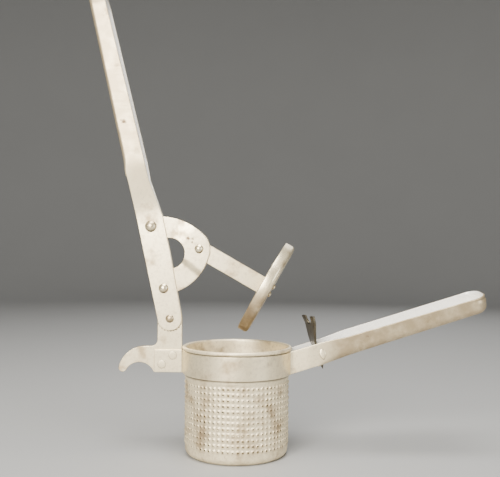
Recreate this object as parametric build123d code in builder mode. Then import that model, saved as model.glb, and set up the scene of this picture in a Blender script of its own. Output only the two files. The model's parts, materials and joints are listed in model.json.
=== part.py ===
"""Hand potato ricer of riveted sheet steel.

A perforated basket sits in a ring that carries on as the lower handle. The ring's ends clamp an
upright plate with a pot hook. The lever turns on the upright and carries a D-shaped bracket, and
the plunger swings from the bracket's nose. A forked latch between the handle's straps holds the
basket down.

Frame: origin at the middle of the basket's base, +Z up, +X along the lower handle.
"""
from build123d import *
from math import atan2, cos, radians, sin, sqrt, tan
import os

# ---------------------------------------------------------------- driving dimensions (mm, degrees)
# Basket
basket_diameter = 78.5        # outside of the drawn wall
basket_height = 80.5          # base to the top of the rolled rim
basket_wall = 0.8
basket_corner = 5.0           # outside radius between wall and base
bead_diameter = 3.0           # rolled rim, outside
rim_wire_diameter = 1.3

# Sheet and clearances
sheet = 1.4                   # handles, ring and clamp
bracket_sheet = 1.5
seat_gap = 0.3                # between curved faces of pieces that part
slip_gap = 0.1                # between flat faces that slide on each other
pin_gap = 0.08                # round a rivet or pin, on the radius

# Ring and clamp
ring_clearance = 0.35         # between the basket's wall and the ring
ring_height = 17.0
clamp_length = 20.5           # flat ends of the ring, outward from the basket's rim
clamp_bend = 3.0              # middle radius where ring turns into clamp

# Upright plate with the pot hook
plate_thickness = 3.0
upright_width = 18.5
pivot_rise = 23.3             # lever's pivot above the ring's top
hook_rise = 2.4               # top of the hook's arm above the ring's top
hook_arm = 9.4                # flat top of the arm, outward from the upright
hook_fillet = 5.0
hook_drop = 14.0              # tip's middle below the ring's top
hook_reach = 26.2             # hook's tip, outward from the upright's outer edge
hook_tip_radius = 3.1
hook_tip_turn = 20.0          # tip's round ends this far below level
notch_height = 7.2            # for the rim of a pot, above the ring's foot

# Lower handle
strap_spread = 20.0           # outside the straps where they leave the ring
strap_flare = 12.55           # straps spread over this length, outward from the rim
strap_bend = 5.0              # middle radius where ring turns into strap
neck_width = 23.0             # outside the straps where the grip starts
grip_end_width = 28.0
strap_length = 37.55          # outward from the rim to the start of the grip's web
grip_run = 106.0              # level length of the grip's lip
handle_slope = 17.2
grip_depth_start = 15.2
grip_depth_end = 12.6
grip_end_round = 10.5
grip_corner = 4.0             # outside radius between cheeks and web

# Lever
lever_lean = 12.2             # from upright, away from the handle
lever_length = 253.0          # pivot to end
lever_heel = 9.1              # radius round the pivot
lever_shoulder = 10.3         # half width where it holds the bracket
lever_web_start = 126.0
lever_spread_start = 84.0     # cheeks lie together below this
lever_spread_end = 120.0
lever_spread_bend = 25.0      # middle radius of the cheeks' two bends
lever_neck_width = 20.0       # outside the cheeks where the spread ends
lever_lip_step = 14.0         # where the front edge reaches the lip, short of the spread's end
lever_end_width = 25.0
lever_back = 9.5              # web's outside, behind the pivot line
lever_back_end = 10.5
lever_lip_start = 5.9         # front edge, ahead of the pivot line
lever_lip_end = 1.3
lever_end_round = 10.5
lever_corner = 4.0            # outside radius between cheeks and web

# Bracket (in the lever's own directions: along it, and out from it)
nose_along = 47.1             # plunger's pivot
nose_out = 32.3
bracket_low = 19.0            # where the bracket's edge leaves the lever
bracket_high = 76.8
bracket_reach = 40.7
bracket_hole_along = 48.4
bracket_hole_out = 9.5
bracket_hole_radius = 11.7
rivet_low_along = 23.3
rivet_high_along = 71.3
joggle_start = 12.6           # from the plunger's pivot to the fold across each limb
joggle_run = 2.8
joggle_turn_low = 40.0        # fold's direction, from the lever's own
joggle_turn_high = 49.0
bracket_crown_high = (7.6, 1.3)    # ends of the crown's arc: along from the nose, and in from the reach
bracket_crown_low = (-3.6, 0.7)
bracket_crown_top = 2.0            # along from the nose to the crown's furthest point
bracket_shoulder_high = (20.2, -3.6)   # middles of the long edges, along and out from the nose
bracket_shoulder_low = (-17.5, -1.5)
bracket_tail_low = (6.5, 4.0)      # foot's end at the lever's middle and back, past the lower rivet
bracket_tail_high = (8.5, 5.5)     # and past the upper rivet
bracket_back = 8.1                 # foot's back edge, behind the pivot line

# Plunger
arm_width = 13.0
arm_thickness = 3.0
arm_angle = -29.5             # from level, at rest
plunger_drop = 63.0           # pivot to the pressing face
disc_clearance = 1.45         # between the disc and the basket's wall
disc_sheet = 1.5
disc_depth = 8.0              # pressing face to the top of the turned edge
disc_corner = 2.8
tenon_spacing = 6.4
tenon_diameter = 3.0
tenon_head_diameter = 4.6
tenon_head_height = 1.6

# Latch
latch_distance = 22.35        # pin's middle, outward from the rim
latch_drop = 2.0              # and below the ring's top
latch_lean = 15.0
prong_lean = 28.0
latch_sheet = 1.6
latch_offset = 4.6            # plate's outer face ahead of the pin
latch_neck = 24.4             # plate above the pin's level, to the bend of the prongs
latch_width_low = 18.5
latch_width_high = 20.0
prong_length = 6.2
prong_gap = 8.4
ear_reach = 4.2               # ear round the pin, radius

# Rivets: shank diameter, head diameter, head height
lever_rivet = (4.0, 6.2, 1.3)
bracket_rivet_high = (5.0, 8.9, 2.0)
bracket_rivet_low = (4.6, 7.4, 1.8)
plunger_rivet = (4.4, 6.9, 1.7)
latch_rivet = (3.4, 5.8, 1.0)
clamp_rivet_shank = 4.4
clamp_rivet_head = 6.8
clamp_rivet_sink = 1.2        # depth of the countersink
clamp_rivet_spots = ((5.6, 5.9), (13.8, 12.7))  # from the clamp's outer end, and up from its foot

# ------------------------------------------------------------------------------- derived places
basket_radius = basket_diameter / 2
bead_radius = bead_diameter / 2
bead_centre = basket_radius - basket_wall + bead_radius
rim_radius = bead_centre + bead_radius
bead_height = basket_height - bead_radius

ring_middle = basket_radius + ring_clearance + sheet / 2
ring_top = basket_height - bead_diameter - seat_gap
ring_foot = ring_top - ring_height

upright_inner = -(rim_radius + seat_gap + pin_gap)
upright_outer = upright_inner - upright_width
pivot = Vector(upright_inner - upright_width / 2, 0, ring_top + pivot_rise)
clamp_outer = upright_inner - clamp_length
clamp_middle = plate_thickness / 2 + pin_gap + sheet / 2
stack_half = plate_thickness / 2 + slip_gap + sheet      # lever's cheeks, outside

lean = radians(lever_lean)
along = Vector(-sin(lean), 0, cos(lean))
outward = Vector(cos(lean), 0, sin(lean))
lever_side = Plane(origin=pivot, x_dir=along, z_dir=(0, 1, 0))
lever_plan = Plane(origin=pivot, x_dir=along, z_dir=-outward)
nose = pivot + along * nose_along + outward * nose_out

slope = radians(handle_slope)
handle_along = Vector(cos(slope), 0, sin(slope))
handle_up = Vector(-sin(slope), 0, cos(slope))
strap_root_y = (strap_spread - sheet) / 2
strap_root_x = sqrt(ring_middle**2 - strap_root_y**2)
strap_root = (strap_root_x, -strap_root_y)
strap_flare_end = rim_radius + strap_flare
grip_start = rim_radius + strap_length
rise_to_grip = (grip_start - strap_root_x) * tan(slope)
grip_lip = Vector(grip_start, 0, ring_top + rise_to_grip)
grip_length = grip_run / cos(slope)
handle_side = Plane(origin=grip_lip, x_dir=handle_along, z_dir=(0, -1, 0))
handle_plan = Plane(origin=grip_lip, x_dir=handle_along, z_dir=handle_up)

arm_turn = radians(arm_angle)
arm_along = Vector(cos(arm_turn), 0, sin(arm_turn))
arm_side = Plane(origin=nose, x_dir=arm_along, z_dir=(0, -1, 0))
disc_plane = Plane(origin=nose, x_dir=(0, 1, 0), z_dir=arm_along)

latch_pin = Vector(rim_radius + latch_distance, 0, ring_top - latch_drop)
latch_turn = radians(latch_lean)
latch_up = Vector(-sin(latch_turn), 0, cos(latch_turn))
latch_face = Vector(-cos(latch_turn), 0, -sin(latch_turn))   # towards the basket
latch_side = Plane(origin=latch_pin, x_dir=latch_up, z_dir=(0, 1, 0))

clamp_rivets = [Vector(clamp_outer + x, 0, ring_foot + z) for x, z in clamp_rivet_spots]
high_rivet_spot = pivot + along * rivet_high_along
low_rivet_spot = pivot + along * rivet_low_along


def cross_plane(point):
    """Plane across the object at a point, its normal towards +Y."""
    return Plane(origin=point, x_dir=(1, 0, 0), z_dir=(0, 1, 0))


def hole_body(point, diameter):
    """Round bar right across the object at a point, to cut a hole with."""
    with BuildPart() as bar:
        with BuildSketch(cross_plane(point)):
            Circle(diameter / 2)
        extrude(amount=basket_diameter, both=True)
    return bar.part


def domed_rivet(point, sizes, half_stack):
    """A rivet across the object: a shank with a domed head on each side of its stack."""
    shank, head, height = sizes
    dome = ((head / 2) ** 2 + height**2) / (2 * height)
    with BuildPart() as rivet:
        with BuildSketch(cross_plane(point)):
            Circle(shank / 2)
        extrude(amount=half_stack + height / 2, both=True)
        for side in (1, -1):
            seat = point + Vector(0, side * half_stack, 0)
            with BuildSketch(Plane(origin=seat, x_dir=(1, 0, 0), z_dir=(0, 0, side))):
                with BuildLine():
                    middle = sin(atan2(head / 2, dome - height) / 2) * dome
                    drop = dome - sqrt(dome**2 - middle**2)
                    Line((0, 0), (head / 2, 0))
                    ThreePointArc((head / 2, 0), (middle, height - drop), (0, height))
                    Line((0, height), (0, 0))
                make_face()
            revolve(axis=Axis(seat, (0, 1, 0)))
    return rivet.part


def clamp_rivet_body(point, gap):
    """Flush rivet of the clamp, countersunk on both sides, or its hole with a gap on the radius."""
    end = clamp_middle + sheet / 2
    neck = end - clamp_rivet_sink
    with BuildPart() as rivet:
        with BuildSketch(Plane(origin=point, x_dir=(1, 0, 0), z_dir=(0, 0, 1))):
            with BuildLine():
                Polyline(
                    (0, -end),
                    (clamp_rivet_head / 2 + gap, -end),
                    (clamp_rivet_shank / 2 + gap, -neck),
                    (clamp_rivet_shank / 2 + gap, neck),
                    (clamp_rivet_head / 2 + gap, end),
                    (0, end),
                    close=True,
                )
            make_face()
        revolve(axis=Axis(point, (0, 1, 0)))
    return rivet.part


def channel_body(plan, side, plan_points, side_points, end_round, corner, tail):
    """Blind channel as a filled body: plan outline run through the side outline, back edges rounded.

    tail is the length along the channel that is left off its open start after rounding.
    """
    with BuildPart() as body:
        with BuildSketch(plan):
            with BuildLine():
                Polyline(*plan_points, close=True)
            make_face()
            fillet(vertices().group_by(Axis.X)[-1], radius=end_round)
        extrude(amount=lever_length, both=True)
        with BuildSketch(side):
            with BuildLine():
                Polyline(*side_points, close=True)
            make_face()
        extrude(amount=lever_length, both=True, mode=Mode.INTERSECT)
        back = faces().sort_by(Axis(side.origin, side.y_dir))[0]
        start = back.edges().sort_by(Axis(side.origin, side.x_dir))[0]
        fillet(back.edges() - ShapeList([start]), radius=corner)
        cut = Plane(origin=side.origin + side.x_dir * tail, x_dir=side.y_dir, z_dir=side.x_dir)
        split(bisect_by=cut, keep=Keep.TOP)
    return body.part


def save(part, label):
    """Label a finished piece and write its file."""
    part.label = label
    export_step(part, f"parts/{label}.step")


os.makedirs("parts", exist_ok=True)

# ----------------------------------------------------------------------------------------- basket
with BuildPart() as basket:
    with BuildSketch(Plane.XZ):
        with BuildLine():
            outer = basket_radius
            inner = basket_radius - basket_wall
            bend = basket_corner * sin(radians(45))
            inner_bend = (basket_corner - basket_wall) * sin(radians(45))
            middle = outer - basket_corner
            Line((0, 0), (middle, 0))
            ThreePointArc((middle, 0), (middle + bend, basket_corner - bend), (outer, basket_corner))
            Line((outer, basket_corner), (outer, bead_height))
            Line((outer, bead_height), (inner, bead_height))
            Line((inner, bead_height), (inner, basket_corner))
            ThreePointArc(
                (inner, basket_corner),
                (middle + inner_bend, basket_corner - inner_bend),
                (middle, basket_wall),
            )
            Line((middle, basket_wall), (0, basket_wall))
            Line((0, basket_wall), (0, 0))
        make_face()
        with Locations((bead_centre, bead_height)):
            Circle(bead_radius)
        with Locations((bead_centre, bead_height)):
            Circle(rim_wire_diameter / 2 + pin_gap, mode=Mode.SUBTRACT)
    revolve(axis=Axis.Z)
save(basket.part, "basket")

with BuildPart() as rim_wire:
    with BuildSketch(Plane.XZ):
        with Locations((bead_centre, bead_height)):
            Circle(rim_wire_diameter / 2)
    revolve(axis=Axis.Z)
save(rim_wire.part, "rim_wire")

# ----------------------------------------------------------------------------------- lower handle
grip_plan = [
    (0, neck_width / 2),
    (grip_corner * 3, neck_width / 2),
    (grip_length, grip_end_width / 2),
    (grip_length, -grip_end_width / 2),
    (grip_corner * 3, -neck_width / 2),
    (0, -neck_width / 2),
]
grip_side = [(0, 0), (grip_length, 0), (grip_length, -grip_depth_end), (0, -grip_depth_start)]
grip_body = channel_body(handle_plan, handle_side, grip_plan, grip_side, grip_end_round, grip_corner, 0)

grip_room_plan = [
    (-grip_corner * 3, neck_width / 2 - sheet),
    (grip_corner * 3, neck_width / 2 - sheet),
    (grip_length - sheet, grip_end_width / 2 - sheet),
    (grip_length - sheet, -(grip_end_width / 2 - sheet)),
    (grip_corner * 3, -(neck_width / 2 - sheet)),
    (-grip_corner * 3, -(neck_width / 2 - sheet)),
]
grip_room_side = [
    (-grip_corner * 3, sheet * 2),
    (grip_length, sheet * 2),
    (grip_length, -(grip_depth_end - sheet)),
    (-grip_corner * 3, -(grip_depth_start - sheet)),
]
grip_room = channel_body(
    handle_plan, handle_side, grip_room_plan, grip_room_side,
    grip_end_round - sheet, grip_corner - sheet, -grip_corner * 2,
)

strap_middle = (neck_width - sheet) / 2
strap_end_x = grip_start + grip_corner * 2
strap_end_lip = grip_lip.Z + (strap_end_x - grip_start) * tan(slope)
strap_foot = grip_lip.Z - grip_depth_start / cos(slope)
clamp_meet = -sqrt(ring_middle**2 - clamp_middle**2)

with BuildPart() as lower_handle:
    # Clamp ends, ring and straps: one upright sheet, drawn along its middle line
    with BuildSketch(Plane.XY.offset(ring_foot - ring_height)):
        with BuildLine() as half_ring:
            Line((clamp_outer, -clamp_middle), (clamp_meet, -clamp_middle))
            ThreePointArc((clamp_meet, -clamp_middle), (0, -ring_middle), strap_root)
            Line(strap_root, (strap_flare_end, -strap_middle))
            Line((strap_flare_end, -strap_middle), (strap_end_x, -strap_middle))
            fillet(half_ring.vertices().sort_by_distance((clamp_meet, -clamp_middle))[0], radius=clamp_bend)
            fillet(half_ring.vertices().sort_by_distance(strap_root)[0], radius=strap_bend)
        trace(line_width=sheet)
        mirror(about=Plane.XZ)
    extrude(amount=ring_height * 4)
    with BuildSketch(Plane.XZ):
        with BuildLine():
            Polyline(
                (clamp_outer, ring_foot),
                (strap_root_x, ring_foot),
                (grip_start, strap_foot - sheet / 2),
                (strap_end_x, strap_foot + grip_corner * 2),
                (strap_end_x, strap_end_lip),
                (strap_root_x, ring_top),
                (clamp_outer, ring_top),
                close=True,
            )
        make_face()
    extrude(amount=basket_diameter, both=True, mode=Mode.INTERSECT)
    add(grip_body)
    add(grip_room, mode=Mode.SUBTRACT)
    for spot in clamp_rivets:
        add(clamp_rivet_body(spot, pin_gap), mode=Mode.SUBTRACT)
    add(hole_body(latch_pin, latch_rivet[0] + 2 * pin_gap), mode=Mode.SUBTRACT)
save(lower_handle.part, "lower_handle")

# --------------------------------------------------------------------- upright plate and its rivets
hook_top = ring_top + hook_rise
hook_tip = (upright_outer - hook_reach, ring_top - hook_drop)
hook_shoulder = (upright_outer - hook_arm, hook_top)
tip_turn = radians(hook_tip_turn)
notch_inner = (hook_tip[0] + hook_tip_radius * cos(tip_turn), hook_tip[1] - hook_tip_radius * sin(tip_turn))
notch_outer = (clamp_outer - sheet / 2, ring_foot)
notch_top = ((notch_inner[0] + notch_outer[0]) / 2, ring_foot + notch_height)

with BuildPart() as hook_plate:
    with BuildSketch(Plane.XZ.offset(-plate_thickness / 2)):
        with BuildLine() as outline:
            Line((upright_inner, ring_foot), (upright_inner, pivot.Z))
            ThreePointArc(
                (upright_inner, pivot.Z),
                (pivot.X, pivot.Z + upright_width / 2),
                (upright_outer, pivot.Z),
            )
            Line((upright_outer, pivot.Z), (upright_outer, hook_top))
            Line((upright_outer, hook_top), hook_shoulder)
            TangentArc(hook_shoulder, (hook_tip[0] - hook_tip_radius, hook_tip[1]), tangent=(-1, 0))
            ThreePointArc(
                (hook_tip[0] - hook_tip_radius, hook_tip[1]),
                (hook_tip[0], hook_tip[1] - hook_tip_radius),
                notch_inner,
            )
            ThreePointArc(notch_inner, notch_top, notch_outer)
            Line(notch_outer, (upright_inner, ring_foot))
            fillet(outline.vertices().sort_by_distance((upright_outer, hook_top))[0], radius=hook_fillet)
        make_face()
    extrude(amount=plate_thickness)
    for spot in clamp_rivets:
        add(clamp_rivet_body(spot, pin_gap), mode=Mode.SUBTRACT)
    add(hole_body(pivot, lever_rivet[0] + 2 * pin_gap), mode=Mode.SUBTRACT)
save(hook_plate.part, "hook_plate")

save(clamp_rivet_body(clamp_rivets[0], 0), "clamp_rivet_lower")
save(clamp_rivet_body(clamp_rivets[1], 0), "clamp_rivet_upper")
save(domed_rivet(pivot, lever_rivet, stack_half + slip_gap), "lever_pivot_rivet")

# ------------------------------------------------------------------------------------------ lever
spread_slope = (lever_end_width - lever_neck_width) / 2 / (lever_length - lever_spread_end)
lip_slope = (lever_lip_end - lever_lip_start) / (lever_length - lever_spread_end)
back_slope = (lever_back_end - lever_back) / (lever_length - lever_web_start)
cheek_overlap = lever_corner * 2                 # cheeks run this far beside the channel
cheek_end = lever_web_start + cheek_overlap


def lever_outline(inset, front):
    """Plan and side outlines of the lever's channel, drawn in by a sheet's thickness or not."""
    start = lever_spread_end
    half_start = lever_neck_width / 2 - inset
    half_end = lever_end_width / 2 - inset
    end = lever_length - inset
    back_start = -(lever_back + (start - lever_web_start) * back_slope) + inset
    back_end = -lever_back_end + inset
    plan = [(start, half_start), (end, half_end), (end, -half_end), (start, -half_start)]
    side = [
        (start, lever_lip_start + front),
        (lever_length, lever_lip_end + front),
        (lever_length, back_end),
        (start, back_start),
    ]
    return plan, side


channel_plan, channel_side = lever_outline(0, 0)
channel = channel_body(
    lever_plan, lever_side, channel_plan, channel_side,
    lever_end_round, lever_corner, lever_web_start,
)
room_plan, room_side = lever_outline(sheet, sheet * 2)
channel_room = channel_body(
    lever_plan, lever_side, room_plan, room_side,
    lever_end_round - sheet, lever_corner - sheet, lever_web_start - sheet,
)

with BuildPart() as upper_handle:
    # Two cheeks, drawn along the middle line of one and mirrored
    cheek_low = stack_half - sheet / 2
    cheek_high = (lever_neck_width - sheet) / 2
    cheek_top = cheek_high + (cheek_end - lever_spread_end) * spread_slope
    with BuildSketch(lever_plan):
        with BuildLine() as cheek_line:
            Line((-lever_heel - sheet, cheek_low), (lever_spread_start, cheek_low))
            Line((lever_spread_start, cheek_low), (lever_spread_end, cheek_high))
            Line((lever_spread_end, cheek_high), (cheek_end, cheek_top))
            for bend in ((lever_spread_start, cheek_low), (lever_spread_end, cheek_high)):
                fillet(cheek_line.vertices().sort_by_distance(bend)[0], radius=lever_spread_bend)
        trace(line_width=sheet)
        mirror(about=Plane.XZ)
    extrude(amount=lever_shoulder * 2, both=True)
    with BuildSketch(lever_side):
        with BuildLine():
            lip_at_end = lever_lip_start + (cheek_end - lever_spread_end) * lip_slope
            ThreePointArc((0, -lever_heel), (-lever_heel, 0), (0, lever_heel))
            Polyline(
                (0, lever_heel),
                (nose_along, lever_shoulder),
                (bracket_high, lever_shoulder),
                (lever_spread_end - lever_lip_step, lever_lip_start),
                (lever_spread_end, lever_lip_start),
                (cheek_end, lip_at_end),
                (cheek_end, -lever_back + lever_corner * 2),
                (lever_web_start, -lever_back),
                (0, -lever_heel),
            )
        make_face()
    extrude(amount=lever_end_width, both=True, mode=Mode.INTERSECT)
    add(channel)
    add(channel_room, mode=Mode.SUBTRACT)
    add(hole_body(pivot, lever_rivet[0] + 2 * pin_gap), mode=Mode.SUBTRACT)
    add(hole_body(high_rivet_spot, bracket_rivet_high[0] + 2 * pin_gap), mode=Mode.SUBTRACT)
    add(hole_body(low_rivet_spot, bracket_rivet_low[0] + 2 * pin_gap), mode=Mode.SUBTRACT)
save(upper_handle.part, "upper_handle")

# ------------------------------------------------------------------------------ D-shaped bracket
spread_inside = arm_thickness / 2 + slip_gap     # nose plates, either side of the arm
joggle_shift = bracket_sheet * tan(atan2(spread_inside, joggle_run) / 2)
bracket_middle = pivot + along * bracket_hole_along


def folded_half(side, end, turn):
    """Sheet with one joggle across a limb, for the upper (end 1) or lower (end -1) half of a plate."""
    angle = radians(turn)
    away = along * (end * sin(angle)) - outward * cos(angle)
    with BuildPart() as half:
        with BuildSketch(Plane(origin=nose, x_dir=away, z_dir=away.cross(Vector(0, side, 0)))):
            with BuildLine():
                Polyline(
                    (-lever_length, spread_inside),
                    (joggle_start, spread_inside),
                    (joggle_start + joggle_run, 0),
                    (lever_length, 0),
                    (lever_length, bracket_sheet),
                    (joggle_start + joggle_run + joggle_shift, bracket_sheet),
                    (joggle_start + joggle_shift, spread_inside + bracket_sheet),
                    (-lever_length, spread_inside + bracket_sheet),
                    close=True,
                )
            make_face()
        extrude(amount=lever_length, both=True)
        split(bisect_by=Plane(origin=bracket_middle, x_dir=outward, z_dir=along * end), keep=Keep.TOP)
    return half.part


def bracket_plate(label, side):
    """One stamped plate of the bracket, on the +Y or -Y side, its nose pressed outwards."""
    with BuildPart() as plate:
        add(folded_half(side, 1, joggle_turn_high))
        add(folded_half(side, -1, joggle_turn_low))
        with BuildSketch(lever_side):
            with BuildLine() as outline:
                foot_high = (bracket_high, lever_shoulder - slip_gap)
                foot_low = (bracket_low, lever_shoulder - slip_gap)
                shoulder_high = (nose_along + bracket_shoulder_high[0], nose_out + bracket_shoulder_high[1])
                shoulder_low = (nose_along + bracket_shoulder_low[0], nose_out + bracket_shoulder_low[1])
                crown_high = (nose_along + bracket_crown_high[0], bracket_reach - bracket_crown_high[1])
                crown_low = (nose_along + bracket_crown_low[0], bracket_reach - bracket_crown_low[1])
                ThreePointArc(foot_high, shoulder_high, crown_high)
                ThreePointArc(crown_high, (nose_along + bracket_crown_top, bracket_reach), crown_low)
                ThreePointArc(crown_low, shoulder_low, foot_low)
                Polyline(
                    foot_low,
                    (rivet_low_along - bracket_tail_low[0], 0),
                    (rivet_low_along - bracket_tail_low[1], -bracket_back),
                    (rivet_high_along + bracket_tail_high[1], -bracket_back),
                    (rivet_high_along + bracket_tail_high[0], 0),
                    foot_high,
                )
            make_face()
        extrude(amount=lever_length, both=True, mode=Mode.INTERSECT)
        with BuildSketch(lever_side):
            with Locations((bracket_hole_along, bracket_hole_out)):
                Circle(bracket_hole_radius)
        extrude(amount=lever_length, both=True, mode=Mode.SUBTRACT)
        add(hole_body(nose, plunger_rivet[0] + 2 * pin_gap), mode=Mode.SUBTRACT)
        add(hole_body(high_rivet_spot, bracket_rivet_high[0] + 2 * pin_gap), mode=Mode.SUBTRACT)
        add(hole_body(low_rivet_spot, bracket_rivet_low[0] + 2 * pin_gap), mode=Mode.SUBTRACT)
    save(plate.part, label)


bracket_plate("bracket_plate_far", 1)
bracket_plate("bracket_plate_near", -1)
save(domed_rivet(high_rivet_spot, bracket_rivet_high, stack_half), "bracket_rivet_upper")
save(domed_rivet(low_rivet_spot, bracket_rivet_low, stack_half), "bracket_rivet_lower")
save(domed_rivet(nose, plunger_rivet, spread_inside + bracket_sheet), "plunger_pivot_rivet")

# ---------------------------------------------------------------------------------------- plunger
arm_end = plunger_drop - disc_sheet
disc_radius = basket_radius - basket_wall - disc_clearance

with BuildPart() as plunger_arm:
    with BuildSketch(arm_side):
        Circle(arm_width / 2)
        with Locations((arm_end / 2, 0)):
            Rectangle(arm_end, arm_width)
    extrude(amount=arm_thickness / 2, both=True)
    for shift in (tenon_spacing / 2, -tenon_spacing / 2):
        with BuildSketch(arm_side):
            with BuildLine():
                head_radius = tenon_head_diameter / 2
                dome = (head_radius**2 + tenon_head_height**2) / (2 * tenon_head_height)
                tip = plunger_drop + tenon_head_height
                bulge = tip - tenon_head_height / 4
                bulge_out = sqrt(dome**2 - (dome - (tip - bulge)) ** 2)
                Polyline(
                    (arm_end - sheet, shift),
                    (arm_end - sheet, shift + tenon_diameter / 2),
                    (plunger_drop, shift + tenon_diameter / 2),
                    (plunger_drop, shift + head_radius),
                )
                ThreePointArc((plunger_drop, shift + head_radius), (bulge, shift + bulge_out), (tip, shift))
                Line((tip, shift), (arm_end - sheet, shift))
            make_face()
        tenon_axis = Axis(arm_side.from_local_coords((0, shift, 0)), arm_along)
        revolve(axis=tenon_axis)
    add(hole_body(nose, plunger_rivet[0] + 2 * pin_gap), mode=Mode.SUBTRACT)
save(plunger_arm.part, "plunger_arm")

with BuildPart() as plunger_disc:
    with BuildSketch(arm_side):
        with BuildLine():
            edge = plunger_drop - disc_corner
            outer_bend = disc_corner * sin(radians(45))
            inner_bend = (disc_corner - disc_sheet) * sin(radians(45))
            bend_out = disc_radius - disc_corner
            lip = plunger_drop - disc_depth
            Line((plunger_drop, 0), (plunger_drop, bend_out))
            ThreePointArc(
                (plunger_drop, bend_out),
                (edge + outer_bend, bend_out + outer_bend),
                (edge, disc_radius),
            )
            Polyline((edge, disc_radius), (lip, disc_radius), (lip, disc_radius - disc_sheet),
                     (edge, disc_radius - disc_sheet))
            ThreePointArc(
                (edge, disc_radius - disc_sheet),
                (edge + inner_bend, bend_out + inner_bend),
                (arm_end, bend_out),
            )
            Polyline((arm_end, bend_out), (arm_end, 0), (plunger_drop, 0))
        make_face()
    revolve(axis=Axis(nose, arm_along))
    with BuildSketch(disc_plane):
        with Locations((0, tenon_spacing / 2), (0, -tenon_spacing / 2)):
            Circle(tenon_diameter / 2 + pin_gap)
    extrude(amount=plunger_drop * 2, mode=Mode.SUBTRACT)
save(plunger_disc.part, "plunger_disc")

# ------------------------------------------------------------------------------------------ latch
with BuildPart() as basket_latch:
    # Plate and prongs in side view, bent once, run across the object
    with BuildSketch(latch_side):
        with BuildLine():
            fold = radians(prong_lean - latch_lean)
            tip = (latch_neck + prong_length * cos(fold), -latch_offset - prong_length * sin(fold))
            back_tip = (tip[0] + latch_sheet * sin(fold), tip[1] + latch_sheet * cos(fold))
            fold_shift = latch_sheet * tan(fold / 2)
            Polyline(
                (-ear_reach, -latch_offset),
                (latch_neck, -latch_offset),
                tip,
                back_tip,
                (latch_neck + fold_shift, -latch_offset + latch_sheet),
                (-ear_reach, -latch_offset + latch_sheet),
                close=True,
            )
        make_face()
    extrude(amount=latch_width_high, both=True)
    # Front outline: widens upwards, with a round-bottomed gap between the prongs
    with BuildSketch(Plane(origin=latch_pin, x_dir=(0, 1, 0), z_dir=latch_face)):
        with BuildLine():
            top = latch_neck + prong_length * 2
            Polyline(
                (-latch_width_low / 2, ear_reach),
                (-latch_width_low / 2, 0),
                (-latch_width_high / 2, -latch_neck),
                (-latch_width_high / 2, -top),
                (latch_width_high / 2, -top),
                (latch_width_high / 2, -latch_neck),
                (latch_width_low / 2, 0),
                (latch_width_low / 2, ear_reach),
                close=True,
            )
        make_face()
        with Locations((0, -latch_neck - prong_length)):
            SlotOverall(prong_length * 2, prong_gap, rotation=90, mode=Mode.SUBTRACT)
    extrude(amount=latch_offset * 4, both=True, mode=Mode.INTERSECT)
    # Ears round the pin
    for side in (1, -1):
        outer_face = latch_pin + Vector(0, side * latch_width_low / 2, 0)
        ear_plane = Plane(origin=outer_face, x_dir=latch_up, z_dir=(0, 1, 0))
        with BuildSketch(ear_plane):
            Circle(ear_reach)
            with Locations((0, -latch_offset / 2)):
                Rectangle(ear_reach * 2, latch_offset)
        extrude(amount=-side * latch_sheet)
    add(hole_body(latch_pin, latch_rivet[0] + 2 * pin_gap), mode=Mode.SUBTRACT)
save(basket_latch.part, "basket_latch")
save(domed_rivet(latch_pin, latch_rivet, neck_width / 2), "latch_pin")
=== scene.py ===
"""Looks of a hand potato ricer of riveted, tinned sheet steel.

The file is laid out as an add-on and is run as a script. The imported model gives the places, and each
operator builds one finished piece, or one group of like pieces, round it.
"""

import json
from math import asin, atan2, cos, pi, radians, sin, sqrt, tan

import bmesh
import bpy
from bpy.props import FloatProperty, FloatVectorProperty, IntProperty, PointerProperty
from bpy.types import Operator, Panel, PropertyGroup
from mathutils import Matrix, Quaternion, Vector, noise
from mathutils.geometry import delaunay_2d_cdt


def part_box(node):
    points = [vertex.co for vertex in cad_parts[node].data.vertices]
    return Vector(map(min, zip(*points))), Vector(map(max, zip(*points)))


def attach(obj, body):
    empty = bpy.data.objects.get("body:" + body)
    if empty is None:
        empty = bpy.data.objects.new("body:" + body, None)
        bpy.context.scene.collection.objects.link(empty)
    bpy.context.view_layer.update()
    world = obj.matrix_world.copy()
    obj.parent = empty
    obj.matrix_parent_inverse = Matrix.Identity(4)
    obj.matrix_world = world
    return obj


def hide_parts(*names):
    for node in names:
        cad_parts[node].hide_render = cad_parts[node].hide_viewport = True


bl_info = {
    "name": "Potato Ricer",
    "version": (1, 0, 0),
    "blender": (4, 5, 0),
    "location": "3D View > Sidebar > Ricer",
    "description": "Builds the finished pieces of a hand potato ricer round its packed model",
    "category": "Add Mesh",
}

MM = 0.001
UP = Vector((0, 0, 1))
ACROSS = Vector((0, 1, 0))
MERGE = 0.002 * MM
SAME_FLAT = radians(1.5)

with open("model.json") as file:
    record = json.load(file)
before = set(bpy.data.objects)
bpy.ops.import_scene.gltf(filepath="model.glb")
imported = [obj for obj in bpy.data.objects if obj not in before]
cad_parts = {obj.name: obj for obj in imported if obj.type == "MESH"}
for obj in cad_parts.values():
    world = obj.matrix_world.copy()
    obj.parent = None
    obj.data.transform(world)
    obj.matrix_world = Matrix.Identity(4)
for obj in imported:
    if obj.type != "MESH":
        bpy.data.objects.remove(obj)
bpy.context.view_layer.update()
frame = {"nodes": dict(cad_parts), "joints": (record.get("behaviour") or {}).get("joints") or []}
joint_at = {joint["name"]: Vector(joint["pos_m"]) for joint in frame["joints"] if "pos_m" in joint}
lever_pivot = joint_at["lever_turn"]
nose_pivot = joint_at["plunger_swing"]
latch_pivot = joint_at["latch_turn"]


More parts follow.
